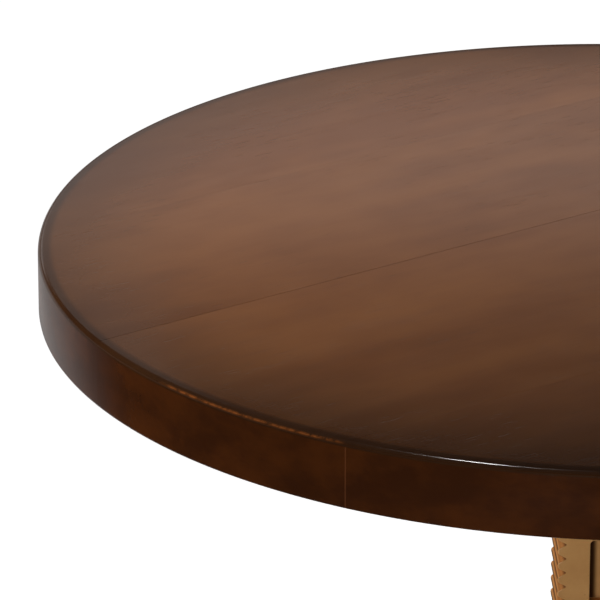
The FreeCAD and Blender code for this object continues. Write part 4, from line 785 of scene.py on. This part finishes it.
# Every other node but the post: its slot, and how far its edges are rounded
SOFT_NODES = (
    ("top_flange", "cast_brass_finish", 0.5 * MM),
    ("gear_case", "cast_brass_finish", 0.5 * MM),
    ("case_cover", "cast_brass_finish", 0.4 * MM),
    ("base_hub", "cast_brass_finish", 0.5 * MM),
    *(("leg_%d" % leg, "cast_brass_finish", 0.5 * MM) for leg in range(1, 5)),
    ("crank_arm", "cast_brass_finish", 0.4 * MM),
    ("lock_knob", "cast_brass_finish", 0.4 * MM),
    ("column", "tube_brass_finish", 0.2 * MM),
    ("flange_screws", "steel_fastener", 0.12 * MM),
    ("post_bolts", "steel_fastener", 0.3 * MM),
    ("post_nuts", "steel_fastener", 0.3 * MM),
    ("leg_bolts", "steel_fastener", 0.25 * MM),
    ("cover_screws", "steel_fastener", 0.15 * MM),
    ("liner_screws", "steel_fastener", 0.12 * MM),
    ("skirt_screws", "steel_fastener", 0.15 * MM),
    ("hub_screws", "steel_fastener", 0.15 * MM),
    ("shoe_screws", "steel_fastener", 0.15 * MM),
    ("crank_nut", "tube_brass_finish", 0.25 * MM),
    ("crank_washer", "tube_brass_finish", 0.15 * MM),
    ("crank_shaft", "bright_steel", 0.15 * MM),
    ("crank_pinion", "bright_steel", 0.12 * MM),
    ("pinion_key", "bright_steel", 0.15 * MM),
    ("retaining_ring", "bright_steel", 0.15 * MM),
    ("grip_spindle", "bright_steel", 0.15 * MM),
    ("lock_stud", "bright_steel", 0.15 * MM),
    ("grip_ferrule", "tube_brass_finish", 0.15 * MM),
    ("rear_bush", "bronze_bearing", 0.15 * MM),
    ("front_bush", "bronze_bearing", 0.15 * MM),
    ("guide_liner", "bronze_bearing", 0.25 * MM),
    ("guide_sleeve", "black_nylon", 0.3 * MM),
    ("post_shoe", "black_nylon", 0.3 * MM),
    ("brake_pad", "brake_leather", 0.3 * MM),
    ("crank_grip", "walnut_grip", 0.3 * MM),
    *(("leg_glide_%d" % leg, "black_nylon", 0.3 * MM) for leg in range(1, 5)))

for label, slot_name, edge in SOFT_NODES:
    softened(label, FINISHES[slot_name], edge)
toothed_post(FINISHES["post_brass"])


def floor_paper():
    """Pale paper, dark in reflections except behind the table, where it also glows a little.

    It is white to the camera, but less so round the base, where soft shadows show on it,
    and from below it is clear.
    """
    material = bpy.data.materials.new("floor_paper")
    material.use_nodes = True
    finish = Finish(material.node_tree)
    material.node_tree.nodes.remove(material.node_tree.nodes["Principled BSDF"])
    ray = finish.add("ShaderNodeLightPath").outputs
    place = finish.place()
    white = finish.between(finish.length(place), *FLOOR_WHITE_REACH, *FLOOR_WHITE)
    way = finish.add("ShaderNodeVectorMath", {"operation": "NORMALIZE"}, i0=place).outputs[0]
    behind = finish.between(finish.axes(way)["Y"], 0.35, 0.80)
    hidden = finish.math("MULTIPLY", ray["Is Glossy Ray"], finish.math("SUBTRACT", 1.0, behind))
    tone = finish.math("MULTIPLY_ADD", hidden, -FLOOR_LOSS * FLOOR_TONE, FLOOR_TONE)
    plain = finish.add("ShaderNodeBsdfDiffuse", Color=finish.grey(tone)).outputs[0]
    seen = finish.math("MULTIPLY", ray["Is Camera Ray"], white)
    mirrored = finish.math("MULTIPLY", ray["Is Glossy Ray"],
                           finish.math("MULTIPLY", behind, FLOOR_GLOW))
    glow = finish.add("ShaderNodeEmission", Strength=finish.math("ADD", seen, mirrored)).outputs[0]
    paper = finish.add("ShaderNodeAddShader", i0=plain, i1=glow).outputs[0]
    below = finish.add("ShaderNodeNewGeometry").outputs["Backfacing"]
    clear = finish.add("ShaderNodeBsdfTransparent").outputs[0]
    paper = finish.add("ShaderNodeMixShader", i0=below, i1=paper, i2=clear).outputs[0]
    finish.feed(material.node_tree.nodes["Material Output"].inputs["Surface"], paper)
    return material


def stage_sheet(name, corners, material):
    """A flat four-cornered sheet of the stage."""
    mesh = bpy.data.meshes.new(name)
    mesh.from_pydata(corners, [], [(0, 1, 2, 3)])
    mesh.materials.append(material)
    sheet = bpy.data.objects.new(name, mesh)
    bpy.context.scene.collection.objects.link(sheet)
    return sheet


stage_sheet("floor", [(x * FLOOR_HALF, y * FLOOR_HALF, FLOOR_LEVEL)
                      for x, y in ((-1, -1), (1, -1), (1, 1), (-1, 1))], floor_paper())


def hang_lamp(name, light, place, target):
    """Puts a lamp at a place and points it at a target."""
    holder = bpy.data.objects.new(name, light)
    holder.location = place
    way = np.array(target) - np.array(place)
    level = math.hypot(way[0], way[1])
    holder.rotation_euler = (math.pi / 2 + math.atan2(way[2], level), 0.0,
                             math.atan2(-way[0], way[1]))
    holder.visible_camera = False
    bpy.context.scene.collection.objects.link(holder)
    return holder


def soft_box(name, place, target, size, radiance):
    """A rectangular soft lamp of an even radiance, where 1 is white."""
    light = bpy.data.lights.new(name, "AREA")
    light.shape = "RECTANGLE"
    light.size, light.size_y = size
    light.energy = radiance * math.pi * size[0] * size[1]
    return hang_lamp(name, light, place, target)


def pool_lamp(name, place, target, radius, soft_share, level, bulb):
    """A lamp whose round pool of light on the target has a soft rim.

    Its level is what a white sheet at the target shows, where 1 is white.
    """
    light = bpy.data.lights.new(name, "SPOT")
    distance = math.dist(place, target)
    light.spot_size = 2.0 * math.atan(radius / distance)
    light.spot_blend = soft_share
    light.shadow_soft_size = bulb
    light.energy = level * 4.0 * math.pi ** 2 * distance ** 2
    return hang_lamp(name, light, place, target)


# Where the pool of light and its reflection on the rim come from
OVERHEAD = (-0.39, 0.2, 2.44)

# These three only light the table, and never show as reflections
for lamp in (
        pool_lamp("pool", place=OVERHEAD, target=(-0.33, 0.27, TOP_Z), radius=0.67,
                  soft_share=0.9, level=1.34, bulb=0.10),
        soft_box("low_front", place=(-0.50, -1.75, 0.42), target=(0.0, 0.0, 0.42),
                 size=(0.40, 0.50), radiance=15.0),
        pool_lamp("low_left", place=(-1.55, 0.90, 0.42), target=(0.0, 0.0, 0.50), radius=0.36,
                  soft_share=0.3, level=1.0, bulb=0.12)):
    lamp.visible_glossy = False

# These three only show as reflections: along the rim and over the back of the top
for lamp in (
        soft_box("rim_glint", place=OVERHEAD, target=(0.0, -0.2, TOP_Z),
                 size=(0.16, 0.16), radiance=34.0),
        soft_box("rear_box", place=(-0.12, 0.50, TOP_Z + 0.145),
                 target=(-0.12, -0.2, TOP_Z - 0.5), size=(0.70, 0.10), radiance=0.60),
        soft_box("rear_left", place=(-0.26, 0.50, TOP_Z + 0.28),
                 target=(-0.26, -0.2, TOP_Z - 0.5), size=(0.16, 0.12), radiance=0.26)):
    lamp.visible_diffuse = False


def studio_world():
    """Surroundings: white to the camera, and nearly black in reflections but for a dim band.

    The band lies low down, a little brighter behind the table. They light the table from
    near the horizon, and only a little from above.
    """
    world = bpy.data.worlds.new("studio")
    world.use_nodes = True
    bpy.context.scene.world = world
    finish = Finish(world.node_tree)
    backdrop = world.node_tree.nodes["Background"]
    ray = finish.add("ShaderNodeLightPath").outputs
    way = finish.axes(finish.add("ShaderNodeTexCoord").outputs["Generated"])
    low = finish.between(way["Z"], 0.04, 0.16, 1.0, 0.0)
    behind = finish.between(way["Y"], -0.45, 0.05, 0.20, 0.26)
    mirrored = finish.math("MULTIPLY_ADD", low, behind, 0.02)
    lit = finish.between(way["Z"], 0.10, 0.35, 0.70, 0.10)
    level = finish.mix_number(ray["Is Glossy Ray"], lit, mirrored)
    level = finish.mix_number(ray["Is Camera Ray"], level, 1.0)
    finish.feed(backdrop.inputs["Strength"], level)
    backdrop.inputs["Color"].default_value = (1.0, 1.0, 1.0, 1.0)


studio_world()


def photo_camera():
    """Camera at the photograph's viewing angle, to the left of the post's front."""
    camera = bpy.data.cameras.new("camera")
    camera.sensor_width = CAMERA_SENSOR
    camera.lens = CAMERA_LENS
    holder = bpy.data.objects.new("camera", camera)
    holder.location = (-CAMERA_DISTANCE * math.sin(CAMERA_TURN),
                       -CAMERA_DISTANCE * math.cos(CAMERA_TURN), TOP_Z + CAMERA_ABOVE_TOP)
    holder.rotation_euler = (math.pi / 2 - CAMERA_TILT, 0.0, -CAMERA_HEADING)
    bpy.context.scene.collection.objects.link(holder)
    bpy.context.scene.camera = holder


photo_camera()
bpy.context.scene.view_settings.view_transform = "Standard"
